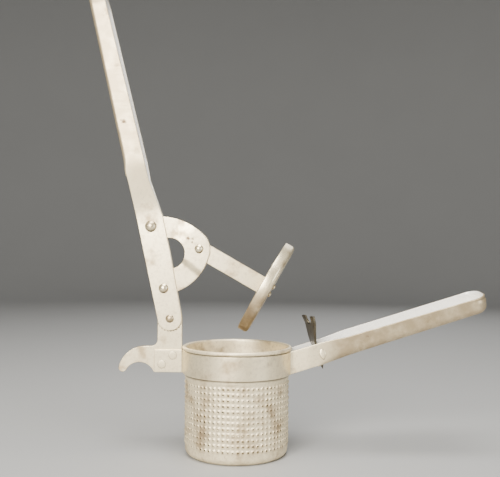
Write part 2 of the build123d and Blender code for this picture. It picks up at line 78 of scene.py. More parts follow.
# ------------------------------------------------------------------------------------- settings
def length(name, description, millimetres):
    """A size that shows in the sidebar, given in millimetres and kept in metres."""
    return FloatProperty(
        name=name, description=description, default=millimetres * MM, unit="LENGTH", precision=4
    )


def angle(name, description, degrees):
    """An angle that shows in the sidebar, given in degrees and kept in radians."""
    return FloatProperty(name=name, description=description, default=radians(degrees), subtype="ANGLE")


def colour(name, description, values):
    """A colour that shows in the sidebar."""
    return FloatVectorProperty(
        name=name, description=description, default=values, subtype="COLOR", size=3, min=0, max=1
    )


class RicerSheetSettings(PropertyGroup):
    """Sizes that the folded pieces share."""

    thickness: length("Sheet", "Thickness of the folded sheet", 1.4)
    easing: length("Eased edge", "Rounding of a sheared edge", 0.35)
    wave: length("Wave", "How far long walls wander from flat", 0.22)
    wave_length: length("Wave length", "Distance over which long walls wander", 26.0)


class RicerBasketSettings(PropertyGroup):
    """Sizes of the perforated basket."""

    wall: length("Wall", "Thickness of the drawn wall", 0.8)
    corner: length("Corner", "Outside radius between wall and base", 5.0)
    bead: length("Bead", "Outside diameter of the rolled rim", 3.0)
    draw_in: length("Draw in", "How far the punched part of the wall stands inside the plain part", 0.6)
    columns: IntProperty(name="Columns", description="Holes round the wall", default=68, min=12)
    rows: IntProperty(name="Rows", description="Holes up the wall", default=12, min=2)
    first_row: length("First row", "Height of the lowest row of holes", 9.9)
    last_row: length("Last row", "Height of the highest row of holes", 54.0)
    hole: length("Hole", "Diameter of the largest holes", 1.5)
    burr: length("Burr", "How far the torn edge of a hole stands out", 0.7)
    base_pitch: length("Base pitch", "Distance between the holes of the base", 4.2)
    base_edge: length("Base edge", "Plain border of the base", 4.5)


class RicerHandleSettings(PropertyGroup):
    """Sizes of the ring and the lower handle."""

    slope: angle("Slope", "Rise of the handle from level", 17.2)
    flare_end: length("Flare end", "Where the straps become parallel, from the basket's axis", 54.0)
    grip_start: length("Grip start", "Where the channel starts, from the basket's axis", 79.0)
    grip_reach: length("Grip reach", "End of the grip's lip, from the basket's axis", 185.0)
    neck: length("Neck", "Outside width where the channel starts", 23.0)
    end_width: length("End width", "Outside width at the end", 28.0)
    depth_start: length("Depth at start", "Depth of the channel where it starts", 15.2)
    depth_end: length("Depth at end", "Depth of the channel at its end", 12.6)
    end_round: length("End corner", "Plan radius of the end's corners", 10.5)
    fold: length("Fold", "Outside radius between cheek and web", 5.4)
    draft: length("Draft", "How far each cheek leans in from its lip to the web", 1.0)
    strap_spread: length("Strap spread", "Outside width of the straps at the ring", 20.0)
    twist: angle("Twist", "Turn of the grip about its own length", 7.5)
    twist_start: length("Twist start", "Where the twist starts, from the basket's axis", 62.0)
    twist_run: length("Twist run", "Length over which the twist grows", 22.0)


class RicerLeverSettings(PropertyGroup):
    """Sizes of the lever."""

    lean: angle("Lean", "Lean of the lever from upright", 12.2)
    reach: length("Length", "From the pivot to the end", 253.0)
    heel: length("Heel", "Radius round the pivot", 9.1)
    shoulder: length("Shoulder", "Half width where it holds the bracket", 10.3)
    shoulder_start: length("Shoulder start", "Where it reaches that half width", 47.1)
    shoulder_end: length("Shoulder end", "Where it narrows again", 76.8)
    lip_step: length("Lip step", "Where the front edge reaches the lip", 106.0)
    web_start: length("Web start", "Where the channel starts", 126.0)
    spread_start: length("Spread start", "Cheeks lie together below this", 84.0)
    spread_end: length("Spread end", "Cheeks are fully apart from here", 120.0)
    cheek: length("Cheek", "Outside of the cheeks where they lie together", 3.0)
    neck: length("Neck", "Outside width where the spread ends", 20.0)
    end_width: length("End width", "Outside width at the end", 25.0)
    back: length("Back", "Back of the channel where it starts", 9.5)
    back_end: length("Back at end", "Back of the channel at its end", 10.5)
    lip: length("Lip", "Front edge where the spread ends", 5.9)
    lip_end: length("Lip at end", "Front edge at the end", 1.3)
    end_round: length("End corner", "Plan radius of the end's corners", 10.5)
    fold: length("Fold", "Outside radius between cheek and web", 2.8)
    curl_run: length("Curl run", "Length over which the back edges turn in to the channel", 15.0)


class RicerBracketSettings(PropertyGroup):
    """Sizes of the D-shaped bracket, along the lever and out from it."""

    sheet: length("Bracket sheet", "Thickness of each plate", 1.5)
    low: length("Low foot", "Where the lower edge leaves the lever", 19.0)
    high: length("High foot", "Where the upper edge leaves the lever", 76.8)
    foot_out: length("Foot", "How far out the edges leave the lever", 10.2)
    back: length("Back", "Foot's back edge, behind the pivot line", 8.1)
    reach: length("Reach", "Furthest point of the crown", 40.7)
    hole_along: length("Hole along", "Middle of the hole, along the lever", 48.4)
    hole_out: length("Hole out", "Middle of the hole, out from the lever", 9.5)
    hole_radius: length("Hole radius", "Radius of the hole", 11.7)
    gap: length("Spread", "Half of the room for the plunger's arm", 1.6)
    turn_high: angle("Upper press line", "Direction of the pressed step in the upper limb", 49)
    turn_low: angle("Lower press line", "Direction of the pressed step in the lower limb", 40)
    press_start: length("Press start", "From the plunger's pivot to the pressed step", 11.6)
    run_high: length("Upper press run", "Length of the pressed step in the upper limb", 12.0)
    run_low: length("Lower press run", "Length of the pressed step in the lower limb", 5.5)


class RicerPlungerSettings(PropertyGroup):
    """Sizes of the plunger."""

    angle: angle("Angle", "Arm's angle from level at rest", -29.5)
    drop: length("Drop", "From the pivot to the pressing face", 63.0)
    disc: length("Disc", "Diameter of the disc", 74.0)
    depth: length("Depth", "From the pressing face to the top of the turned edge", 8.0)
    sheet: length("Disc sheet", "Thickness of the disc", 1.5)
    corner: length("Disc corner", "Outside radius of the turned edge", 2.8)
    tilt: angle("Disc tilt", "How far the disc has leaned toward its near side", 3.6)


class RicerLatchSettings(PropertyGroup):
    """How the latch has been bent in use."""

    twist_low: angle("Twist low", "Turn of the plate at the straps' upper edge", 9)
    twist_high: angle("Twist high", "Turn of the plate at the prongs' ends", 25)
    bend: length("Bend", "How far the prongs' ends have moved away from the basket", 2.6)
    strap_edge: length("Straps' edge", "Height of the straps' upper edge above the pin", 9.0)
    play: length("Play", "Room at each edge of the plate for swinging between the straps", 1.3)


class RicerFinishSettings(PropertyGroup):
    """Colours of the worn tin, with its painted highlight and its painted shade."""

    bright: colour("Bright tin", "Handled tin", (0.975, 0.845, 0.57))
    # The dull tin is also the colour of the painted shade along the grip and on the disc's lower part.
    dull: colour("Dull tin", "Tarnished tin", (0.47, 0.36, 0.215))
    # Painted highlight: a near-white tin for the hollow insides of the handles, standing in for the light
    # that falls into them.
    clean: colour("Painted highlight tin", "Near-white tin painted on hollow insides as a highlight", (0.98, 0.955, 0.90))
    stain: colour("Stain", "Old brown stain", (0.20, 0.13, 0.075))
    # Painted shade: darkens the punched holes, the wall under the bead, the base, the lower side and edge
    # of rivet heads and the outline of the latch pin's lugs.
    painted_shade: colour("Painted shade", "Painted shade in holes, under the bead and round rivet heads", (0.06, 0.045, 0.03))


class RicerStageSettings(PropertyGroup):
    """Floor, light and camera."""

    floor: colour("Floor", "Colour of the floor", (0.36, 0.36, 0.355))
    distance: length("Distance", "Camera's distance from the middle plane", 543.4)
    side: length("Side", "Camera's place along the handle", 9.1)
    height: length("Height", "Camera's height above the floor", 151.2)
    lens: FloatProperty(name="Lens", description="Focal length in millimetres", default=51.44, min=10)
    pitch: angle("Pitch", "Camera's upward tilt", 1.1)
    roll: angle("Roll", "Camera's turn about its own line of sight", -0.5)


GROUPS = {
    "ricer_sheet": RicerSheetSettings,
    "ricer_basket": RicerBasketSettings,
    "ricer_handle": RicerHandleSettings,
    "ricer_lever": RicerLeverSettings,
    "ricer_bracket": RicerBracketSettings,
    "ricer_plunger": RicerPlungerSettings,
    "ricer_latch": RicerLatchSettings,
    "ricer_finish": RicerFinishSettings,
    "ricer_stage": RicerStageSettings,
}


# ----------------------------------------------------------------------------------- mesh helpers
def smooth(value):
    """0 below 0, 1 above 1 and an easy curve between."""
    value = max(0.0, min(1.0, value))
    return value * value * (3 - 2 * value)


def wander(point, step):
    """A smooth value between about -1 and 1 that changes over the given distance."""
    return noise.noise(point / step)


def bridge(bm, low, high):
    """Faces between two closed rings of points, either of which may be a single point."""
    count = max(len(low), len(high))
    for i in range(count):
        a, b = low[i % len(low)], low[(i + 1) % len(low)]
        c, d = high[(i + 1) % len(high)], high[i % len(high)]
        corners = list(dict.fromkeys((a, b, c, d)))
        if len(corners) > 2:
            bm.faces.new(corners)


def lathe(bm, profile, centre, axis, segments):
    """Turn points of (radius, height) round an axis, and give back the rings of vertices."""
    axis = axis.normalized()
    side = axis.orthogonal().normalized()
    other = axis.cross(side)
    rings = []
    for radius, height in profile:
        middle = centre + axis * height
        if radius < MM * MM:
            rings.append([bm.verts.new(middle)])
            continue
        turns = [2 * pi * i / segments for i in range(segments)]
        rings.append([bm.verts.new(middle + (side * cos(t) + other * sin(t)) * radius) for t in turns])
    for low, high in zip(rings, rings[1:]):
        bridge(bm, low, high)
    return rings


def arc(centre, radius, start, end, steps):
    """Points of (x, y) along an arc, angles in degrees."""
    turns = [radians(start + (end - start) * i / steps) for i in range(steps + 1)]
    return [(centre[0] + radius * cos(t), centre[1] + radius * sin(t)) for t in turns]


def arc_through(first, second, third, steps):
    """Points of (x, y) along the arc through three points, the last one left out."""
    (ax, ay), (bx, by), (cx, cy) = first, second, third
    twice = 2 * (ax * (by - cy) + bx * (cy - ay) + cx * (ay - by))
    squares = [x * x + y * y for x, y in (first, second, third)]
    ux = (squares[0] * (by - cy) + squares[1] * (cy - ay) + squares[2] * (ay - by)) / twice
    uy = (squares[0] * (cx - bx) + squares[1] * (ax - cx) + squares[2] * (bx - ax)) / twice
    radius = sqrt((ax - ux) ** 2 + (ay - uy) ** 2)
    start, middle, end = (atan2(y - uy, x - ux) for x, y in (first, second, third))
    sweep = (end - start) % (2 * pi)
    if (middle - start) % (2 * pi) > sweep:
        sweep -= 2 * pi
    turns = [start + sweep * i / steps for i in range(steps)]
    return [(ux + radius * cos(t), uy + radius * sin(t)) for t in turns]


def resample(points, spacing):
    """The same line with its points evenly spaced."""
    points = [Vector(point) for point in points]
    total = sum((b - a).length for a, b in zip(points, points[1:]))
    count = max(2, round(total / spacing))
    step = total / count
    out = [points[0].copy()]
    travelled = 0.0
    for a, b in zip(points, points[1:]):
        run = (b - a).length
        while len(out) < count and step * len(out) <= travelled + run:
            out.append(a.lerp(b, (step * len(out) - travelled) / run))
        travelled += run
    out.append(points[-1].copy())
    return out


def relax(points, passes, keep):
    """Round a line's corners by averaging, except where keep(point) is true."""
    for _ in range(passes):
        middle = [
            b if keep(b) else (a + 2 * b + c) / 4
            for a, b, c in zip(points, points[1:], points[2:])
        ]
        points = [points[0], *middle, points[-1]]
    return points


def mesh_with_painted_shade():
    """An empty mesh whose vertices carry a share of painted shade, and the layer that holds it."""
    bm = bmesh.new()
    return bm, bm.verts.layers.float.new("painted_shade")


def node_mesh(node):
    """A copy of a node's own faces, with each flat as one face."""
    bm = bmesh.new()
    bm.from_mesh(frame["nodes"][node].data)
    bmesh.ops.remove_doubles(bm, verts=bm.verts, dist=MERGE)
    bmesh.ops.dissolve_limit(bm, angle_limit=SAME_FLAT, verts=bm.verts, edges=bm.edges)
    return bm


def middle_and_corner(node):
    """Middle and highest corner of a node's box."""
    low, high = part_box(node)
    return (low + high) / 2, high


def lever_directions(scene):
    """Unit vectors along the lever, and out from it to the side of its bracket."""
    lean = scene.ricer_lever.lean
    return Vector((-sin(lean), 0, cos(lean))), Vector((cos(lean), 0, sin(lean)))


def finish_piece(name, bm, body, material, replaced, sharp=32):
    """Make an object of a finished mesh, ride it on its body and hide the nodes it stands for."""
    bmesh.ops.remove_doubles(bm, verts=bm.verts, dist=MERGE)
    bmesh.ops.recalc_face_normals(bm, faces=bm.faces)
    mesh = bpy.data.meshes.new(name)
    bm.to_mesh(mesh)
    bm.free()
    mesh.shade_smooth()
    mesh.set_sharp_from_angle(angle=radians(sharp))
    mesh.materials.append(material)
    piece = bpy.data.objects.new(name, mesh)
    bpy.context.scene.collection.objects.link(piece)
    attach(piece, body)
    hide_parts(*replaced)
    return piece


def ease_edges(piece, width, steps=3, limit=30):
    """Round a piece's sharp edges and keep its flats flat."""
    bevel = piece.modifiers.new("eased edges", "BEVEL")
    bevel.width = width
    bevel.segments = steps
    bevel.limit_method = "ANGLE"
    bevel.angle_limit = radians(limit)
    bevel.use_clamp_overlap = False
    bevel.miter_outer = "MITER_ARC"
    weighted = piece.modifiers.new("flat flats", "WEIGHTED_NORMAL")
    weighted.keep_sharp = False
    weighted.weight = 100
    piece.data.shade_smooth()


def eased_piece(node, bm, body, material, width):
    """A flat piece that stands for its node, with its sheared edges rounded."""
    piece = finish_piece(node, bm, body, material, [node])
    piece.data.attributes.remove(piece.data.attributes["sharp_edge"])
    ease_edges(piece, width)


class Station:
    """One cut across a folded sheet: its lip, its foot, and the middle of its web if it has one.

    curl is how far a foot without a web turns in, from 0 to 1.
    """

    def __init__(self, lip, foot, centre=None, curl=0.0):
        self.lip = lip
        self.foot = foot
        self.centre = centre
        self.curl = 1.0 if centre else curl


def folded_sheet(bm, stations, fold, wall_rows, fold_rows, web_rows, shape_wall=None):
    """Half of a channel along its stations, as the middle surface of the sheet.

    A station with a centre carries on round the fold and across the web. shape_wall(station, share, point)
    may move a point of the wall, where share is 0 at the lip and 1 at the foot.
    """
    columns = []
    for station in stations:
        down = (station.foot - station.lip).normalized()
        bend = fold * station.curl
        end = station.foot - down * bend
        column = []
        for row in range(wall_rows + 1):
            share = row / wall_rows
            point = station.lip.lerp(end, share)
            if shape_wall:
                point = shape_wall(station, share, point)
            column.append(bm.verts.new(point))
        inward = (station.centre - station.foot).normalized() if station.centre else ACROSS
        if station.curl:
            for row in range(1, fold_rows + 1):
                turn = pi / 2 * row / fold_rows
                point = station.foot - down * bend * (1 - sin(turn)) + inward * bend * (1 - cos(turn))
                column.append(bm.verts.new(point))
        if station.centre:
            start = station.foot + inward * fold
            for row in range(1, web_rows + 1):
                column.append(bm.verts.new(start.lerp(station.centre, row / web_rows)))
        columns.append(column)
    for left, right in zip(columns, columns[1:]):
        for row in range(min(len(left), len(right)) - 1):
            bm.faces.new((left[row], right[row], right[row + 1], left[row + 1]))


def mirror_half(bm):
    """Add the other half across the plane of the handles and join the two."""
    copied = bmesh.ops.duplicate(bm, geom=bm.verts[:] + bm.edges[:] + bm.faces[:])["geom"]
    for vertex in (item for item in copied if isinstance(item, bmesh.types.BMVert)):
        vertex.co.y = -vertex.co.y
    for face in [item for item in copied if isinstance(item, bmesh.types.BMFace)]:
        face.normal_flip()
    middle = [vertex for vertex in bm.verts if abs(vertex.co.y) < 0.01 * MM]
    bmesh.ops.remove_doubles(bm, verts=middle, dist=0.02 * MM)


def thicken(piece, thickness, easing, inside=None):
    """Give a middle surface its thickness and round its sheared edges.

    inside is the hollow side's finish, where it differs; for the handles it is a lighter copy of the tin,
    a painted highlight.
    """
    solid = piece.modifiers.new("sheet", "SOLIDIFY")
    solid.thickness = thickness
    solid.offset = 0
    solid.use_even_offset = True
    if inside:
        piece.data.materials.append(inside)
        solid.material_offset = 1
    ease_edges(piece, easing, limit=40)


def domed_rivet(bm, painted_shade, centre, half_stack, shank, head, height):
    """A rivet across the tool with a domed head on each side of its stack, with painted shade on the lower
    side of each head and round its edge.
    """
    dome = ((head / 2) ** 2 + height**2) / (2 * height)
    rise = atan2(head / 2, dome - height)
    steps = 8
    cap = []
    for i in range(steps + 1):
        turn = rise * i / steps
        cap.append((dome * sin(turn), half_stack + height - dome * (1 - cos(turn))))
    waist = [(head / 2, half_stack), (shank / 2, half_stack)]
    half = cap + waist
    profile = half + [(radius, -out) for radius, out in reversed(half)]
    lathe(bm, profile, centre, ACROSS, 36)
    # Painted shade: darker towards the lower side of each head, and a darker ring at its edge.
    for vertex in bm.verts:
        offset = vertex.co - centre
        reach = sqrt(offset.x**2 + offset.z**2) / (head / 2)
        under = smooth(-offset.z / (head / 2) * 1.3 - 0.15)
        vertex[painted_shade] = max(under * smooth(reach * 1.6 - 0.5), smooth(reach * 5 - 4) * 0.5)


def pressed_lug(bm, painted_shade, place, side, width, height, lean):
    """A rounded, pointed boss pressed up from a strap, with painted shade round its outline, darkest on
    its lower and left sides.

    Each ring is (share of its size, rise in millimetres, painted shade), and the lower end rises most.
    """
    outline = ((1.12, -0.3, 1.0), (1.0, 0.05, 0.9))
    crown = ((0.86, 0.55, 0.1), (0.6, 0.72, 0.0), (0.3, 0.76, 0.0))
    corners = 28
    up = Vector((-sin(lean), 0, cos(lean)))
    across = Vector((cos(lean), 0, sin(lean)))
    rings = []
    for scale, rise, dirt_and_shade in outline + crown:
        ring = []
        for i in range(corners):
            turn = 2 * pi * i / corners
            down = max(0.0, -sin(turn))
            x = cos(turn) * (1 - 0.55 * down**1.5) * width / 2 * scale
            z = sin(turn) * height / 2 * scale
            share = 0.35 + 0.65 * smooth(0.5 - z / height)
            lift = rise * MM * (share if rise > 0 else 1)
            vertex = bm.verts.new(place + across * x + up * z + Vector((0, side * lift, 0)))
            vertex[painted_shade] = dirt_and_shade * (0.25 + 0.75 * max(down, smooth(-cos(turn))))
            ring.append(vertex)
        rings.append(ring)
    for outer, inner in zip(rings, rings[1:]):
        bridge(bm, outer, inner)
    bm.faces.new(rings[-1])
    bm.faces.new(rings[0])


# ------------------------------------------------------------------------------------- materials
class Nodes:
    """Short ways to add shader nodes to one material."""

    def __init__(self, material):
        material.use_nodes = True
        self.tree = material.node_tree
        self.tree.nodes.clear()
        self.output = self.add("ShaderNodeOutputMaterial")
        self.shader = self.add("ShaderNodeBsdfPrincipled")
        self.link(self.shader.outputs["BSDF"], self.output.inputs["Surface"])
        self.place = self.add("ShaderNodeTexCoord").outputs["Object"]

    def add(self, kind, **settings):
        node = self.tree.nodes.new(kind)
        for key, value in settings.items():
            setattr(node, key, value)
        return node

    def link(self, source, target):
        self.tree.links.new(source, target)

    def noise(self, step, detail=3.0, rough=0.55, stretch=None):
        """Noise whose features are about step wide, in metres; stretch gives a direction's own scale."""
        place = self.place
        if stretch is not None:
            mapping = self.add("ShaderNodeMapping")
            mapping.inputs["Rotation"].default_value = (0, stretch[0], 0)
            mapping.inputs["Scale"].default_value = stretch[1]
            self.link(self.place, mapping.inputs["Vector"])
            place = mapping.outputs["Vector"]
        node = self.add("ShaderNodeTexNoise")
        node.inputs["Scale"].default_value = 1 / step
        node.inputs["Detail"].default_value = detail
        node.inputs["Roughness"].default_value = rough
        self.link(place, node.inputs["Vector"])
        return node.outputs["Fac"]

    def ramp(self, value, low, high, to_low=0.0, to_high=1.0):
        """Value from low to high, mapped smoothly."""
        node = self.add("ShaderNodeMapRange", interpolation_type="SMOOTHSTEP", clamp=True)
        limits = {"From Min": low, "From Max": high, "To Min": to_low, "To Max": to_high}
        for socket, number in limits.items():
            node.inputs[socket].default_value = number
        self.link(value, node.inputs["Value"])
        return node.outputs["Result"]

    def math(self, operation, first, second):
        node = self.add("ShaderNodeMath", operation=operation)
        for socket, value in zip(node.inputs, (first, second)):
            if isinstance(value, (int, float)):
                socket.default_value = value
            else:
                self.link(value, socket)
        return node.outputs[0]

    def mix(self, factor, first, second):
        """First colour where factor is 0 and second where it is 1."""
        node = self.add("ShaderNodeMix", data_type="RGBA")
        self.link(factor, node.inputs["Factor"])
        for socket, value in ((node.inputs[6], first), (node.inputs[7], second)):
            if isinstance(value, tuple):
                socket.default_value = value
            else:
                self.link(value, socket)
        return node.outputs[2]

    def spot(self, place, size):
        """1 at a place, fading to 0 at size away from it, with a ragged edge."""
        node = self.add("ShaderNodeVectorMath", operation="DISTANCE")
        self.link(self.place, node.inputs[0])
        node.inputs[1].default_value = place
        ragged = self.math("MULTIPLY", self.noise(size * 0.6), size * 1.1)
        reach = self.math("ADD", node.outputs["Value"], ragged)
        return self.ramp(reach, size * 0.75, size * 1.25, 1.0, 0.0)


def rgba(values, shade=1.0):
    """A colour socket's value from three parts."""
    return (*(part * shade for part in values), 1.0)


def tin(name, shade=1.0, dull=0.5, roughness=0.34, grain=None, spots=(), stained=0.25, clean=0.0,
        metal=0.75, darkening_ramp=None):
    """Worn tin: mottled, faintly brushed along its grain, with stains and pits, and with painted shade
    where the mesh asks for it.

    grain is the angle of the brushing from level in radians, or None for a piece with none.
    spots are (place, size, strength) of single brown spots; on the hook plate they paint the lever heel's
    shadow. A share of 1 for the highlight turns both colours to the painted highlight, a near-white tin
    that stands in for light falling on a hollow inside.
    The ramp (axis, start, end, strength) darkens the tin along X or Z; on the handle's grip and the disc's
    lower part it is painted shade.
    """
    finish = bpy.context.scene.ricer_finish
    material = bpy.data.materials.new(name)
    make = Nodes(material)
    # Painted highlight: with the highlight share at 1, both colours move to the near-white painted
    # highlight tin.
    light, dark = (
        [kept + (fresh - kept) * clean * share for kept, fresh in zip(kind, finish.clean)]
        for kind, share in ((finish.bright, 1.0), (finish.dull, 0.75))
    )
    bright, low = rgba(light, shade), rgba(dark, shade)

    # clouds and mottling of dull tin
    cloud = make.ramp(make.noise(17 * MM, 4, 0.6), 0.62 - dull * 0.3, 0.82 - dull * 0.2)
    mottle = make.ramp(make.noise(2.6 * MM, 5, 0.65), 0.42, 0.75, 0.0, 0.45)
    tone = make.math("MAXIMUM", cloud, mottle)
    # Darkening that grows along X or Z; painted shade on the handle's grip and the disc's lower part.
    if darkening_ramp:
        axis, start, end, strength = darkening_ramp
        parts = make.add("ShaderNodeSeparateXYZ")
        make.link(make.place, parts.inputs[0])
        grown = make.ramp(parts.outputs[axis], start, end, 0.0, strength)
        uneven = make.math("MULTIPLY", grown, make.ramp(make.noise(11 * MM, 3), 0.25, 0.6, 0.55, 1.0))
        tone = make.math("MAXIMUM", tone, uneven)
    base = make.mix(tone, bright, low)

    # dark specks, brown patches and single spots; on the hook plate the spots are a painted shadow of the
    # lever's heel
    specks = make.ramp(make.noise(0.9 * MM, 2, 0.5), 0.70, 0.76, 0.0, 0.55)
    patches = make.ramp(make.noise(9 * MM, 5, 0.7), 0.63, 0.74, 0.0, stained)
    dirt_and_shade = make.math("MAXIMUM", patches, specks)
    for place, size, strength in spots:
        dirt_and_shade = make.math("MAXIMUM", dirt_and_shade, make.math("MULTIPLY", make.spot(place, size), strength))
    base = make.mix(dirt_and_shade, base, rgba(finish.stain))

    # painted shade where the mesh asks for it: in holes, under the bead and round rivet heads and lugs
    painted_shade_share = make.add("ShaderNodeAttribute", attribute_name="painted_shade").outputs["Fac"]
    base = make.mix(make.math("MULTIPLY", painted_shade_share, 0.9), base, rgba(finish.painted_shade))
    make.link(base, make.shader.inputs["Base Color"])

    # gloss, less where the tin is dull or dirty
    if grain is None:
        brushed = make.noise(0.7 * MM, 3)
    else:
        brushed = make.noise(0.9 * MM, 3, 0.6, (grain, (0.06, 1.0, 1.0)))
    gloss = make.math("ADD", make.math("MULTIPLY", brushed, 0.16), make.math("MULTIPLY", tone, 0.14))
    gloss = make.math("ADD", gloss, make.math("MULTIPLY", dirt_and_shade, 0.25))
    make.link(make.math("ADD", gloss, roughness - 0.08), make.shader.inputs["Roughness"])
    make.shader.inputs["Metallic"].default_value = metal

    # relief of shallow dents, pits and brushing
    dents = make.math("MULTIPLY", make.noise(6 * MM, 2), 0.30)
    pits = make.math("MULTIPLY", make.noise(0.55 * MM, 3), 0.05)
    surface = make.math("ADD", make.math("ADD", dents, pits), make.math("MULTIPLY", brushed, 0.035))
    bump = make.add("ShaderNodeBump")
    bump.inputs["Strength"].default_value = 0.35
    bump.inputs["Distance"].default_value = 0.5 * MM
    make.link(surface, bump.inputs["Height"])
    make.link(bump.outputs["Normal"], make.shader.inputs["Normal"])
    return material


# ---------------------------------------------------------------------------------------- basket
class PunchedWall:
    """The basket's wall of punched cells: points are found by cell, height and depth."""

    THIRDS = (
        (0, 0), (1, 0), (2, 0), (3, 0), (3, 1), (3, 2),
        (3, 3), (2, 3), (1, 3), (0, 3), (0, 2), (0, 1),
    )

    def __init__(self, bm, painted_shade, size, radius):
        self.bm = bm
        self.painted_shade = painted_shade
        self.size = size
        self.radius = radius
        self.pitch = (size.last_row - size.first_row) / (size.rows - 1)
        self.low = size.first_row - self.pitch / 2
        self.high = size.last_row + self.pitch / 2
        self.edges = {}

    def point(self, across, height, out):
        """Point at a count of columns round the wall, a height and a distance out of its face."""
        turn = 2 * pi * across / self.size.columns
        radius = self.radius + out
        return Vector((cos(turn) * radius, sin(turn) * radius, height))

    def edge(self, i, j, out):
        """Shared vertex on the grid of thirds of a cell."""
        key = (i % (3 * self.size.columns), j, out)
        if key not in self.edges:
            place = self.point(i / 3, self.low + j * self.pitch / 3, out)
            self.edges[key] = self.bm.verts.new(place)
        return self.edges[key]

    def row_ring(self, j, out):
        """Ring of vertices right round the wall."""
        return [self.edge(i, j, out) for i in range(3 * self.size.columns)]

    def hole(self, column, row):
        """One hole, torn outwards, with a funnel behind it."""
        size = self.size
        middle = (column + 0.5, self.low + (row + 0.5) * self.pitch)
        seed = self.point(*middle, 0)
        open_share = 0.72 + 0.42 * wander(seed, 13 * MM) + 0.25 * wander(seed * 7, 9 * MM)
        hole = size.hole / 2 * min(max(open_share, 0.42), 1.0)
        tear = size.burr * (0.85 + 0.35 * wander(seed * 3, 5 * MM))
        shift = Vector((wander(seed, 4 * MM), wander(seed + seed, 4 * MM))) * 0.12 * MM
        face = [self.edge(3 * column + a, 3 * row + b, 0.0) for a, b in self.THIRDS]
        back = [self.edge(3 * column + a, 3 * row + b, -size.wall) for a, b in self.THIRDS]
        # reach from the hole's middle, distance out of the wall's face, share of painted shade that
        # darkens the hole's inside
        rings = (
            (1.42 * MM, tear * 0.12, 0.05),
            (1.12 * MM, tear * 0.55, 0.0),
            (hole + 0.20 * MM, tear, 0.0),
            (hole + 0.04 * MM, tear * 0.92, 0.55),
            (hole, tear * 0.3, 1.0),
            (hole, -size.wall * 0.5, 1.0),
            (1.05 * MM, -size.wall, 0.6),
        )
        last = face
        pitch_across = 2 * pi * self.radius / size.columns
        for number, (reach, out, painted_shade) in enumerate(rings):
            ring = []
            for k in range(len(self.THIRDS)):
                turn = radians(225 + 30 * k)
                torn = 0 < number < 4
                jag = 1 + (0.12 * noise.noise(seed * 900 + Vector((k * 1.7, number, 0))) if torn else 0)
                across = middle[0] + (reach * jag * cos(turn) + shift.x) / pitch_across
                height = middle[1] + reach * jag * sin(turn) + shift.y
                vertex = self.bm.verts.new(self.point(across, height, out * (jag if out > 0 else 1)))
                vertex[self.painted_shade] = painted_shade
                ring.append(vertex)
            bridge(self.bm, last, ring)
            last = ring
        bridge(self.bm, last, back)


def punched_base(bm, painted_shade, size, radius, rim_low, rim_high):
    """Flat base between two rims of vertices, with a square grid of holes through it."""
    reach = radius - size.base_edge
    pitch = size.base_pitch
    hole = size.hole / 2
    count = int(reach / pitch) + 1
    centres = [
        Vector((i * pitch, j * pitch))
        for i in range(-count, count + 1)
        for j in range(-count, count + 1)
        if Vector((i * pitch, j * pitch)).length < reach
    ]
    sides = 10
    flat = [Vector(vertex.co[:2]) for vertex in rim_low]
    edges = [(i, (i + 1) % len(flat)) for i in range(len(flat))]
    for centre in centres:
        start = len(flat)
        for k in range(sides):
            turn = 2 * pi * k / sides
            flat.append(centre + Vector((cos(turn), sin(turn))) * hole)
        edges += [(start + k, start + (k + 1) % sides) for k in range(sides)]
    points, _, faces, sources, _, _ = delaunay_2d_cdt(flat, edges, [], 0, 1e-7)
    rims = len(rim_low)
    lookup = {new: source for new, old in enumerate(sources) for source in old}
    layers = []
    for height, rim in ((0.0, rim_low), (size.wall, rim_high)):
        made = {}
        for new, point in enumerate(points):
            source = lookup.get(new)
            if source is not None and source < rims:
                made[new] = rim[source]
            else:
                made[new] = bm.verts.new((point[0], point[1], height))
                # The base's inner vertices take half of the painted shade.
                made[new][painted_shade] = 0.5
        for corners in faces:
            middle = sum((Vector(points[c]) for c in corners), Vector((0, 0))) / len(corners)
            if all((middle - centre).length > hole * 0.96 for centre in centres):
                bm.faces.new([made[c] for c in corners])
        layers.append(made)
    by_source = {source: new for new, source in lookup.items()}
    for number in range(len(centres)):
        start = rims + number * sides
        low, high = ([made[by_source[start + k]] for k in range(sides)] for made in layers)
        bridge(bm, low, high)


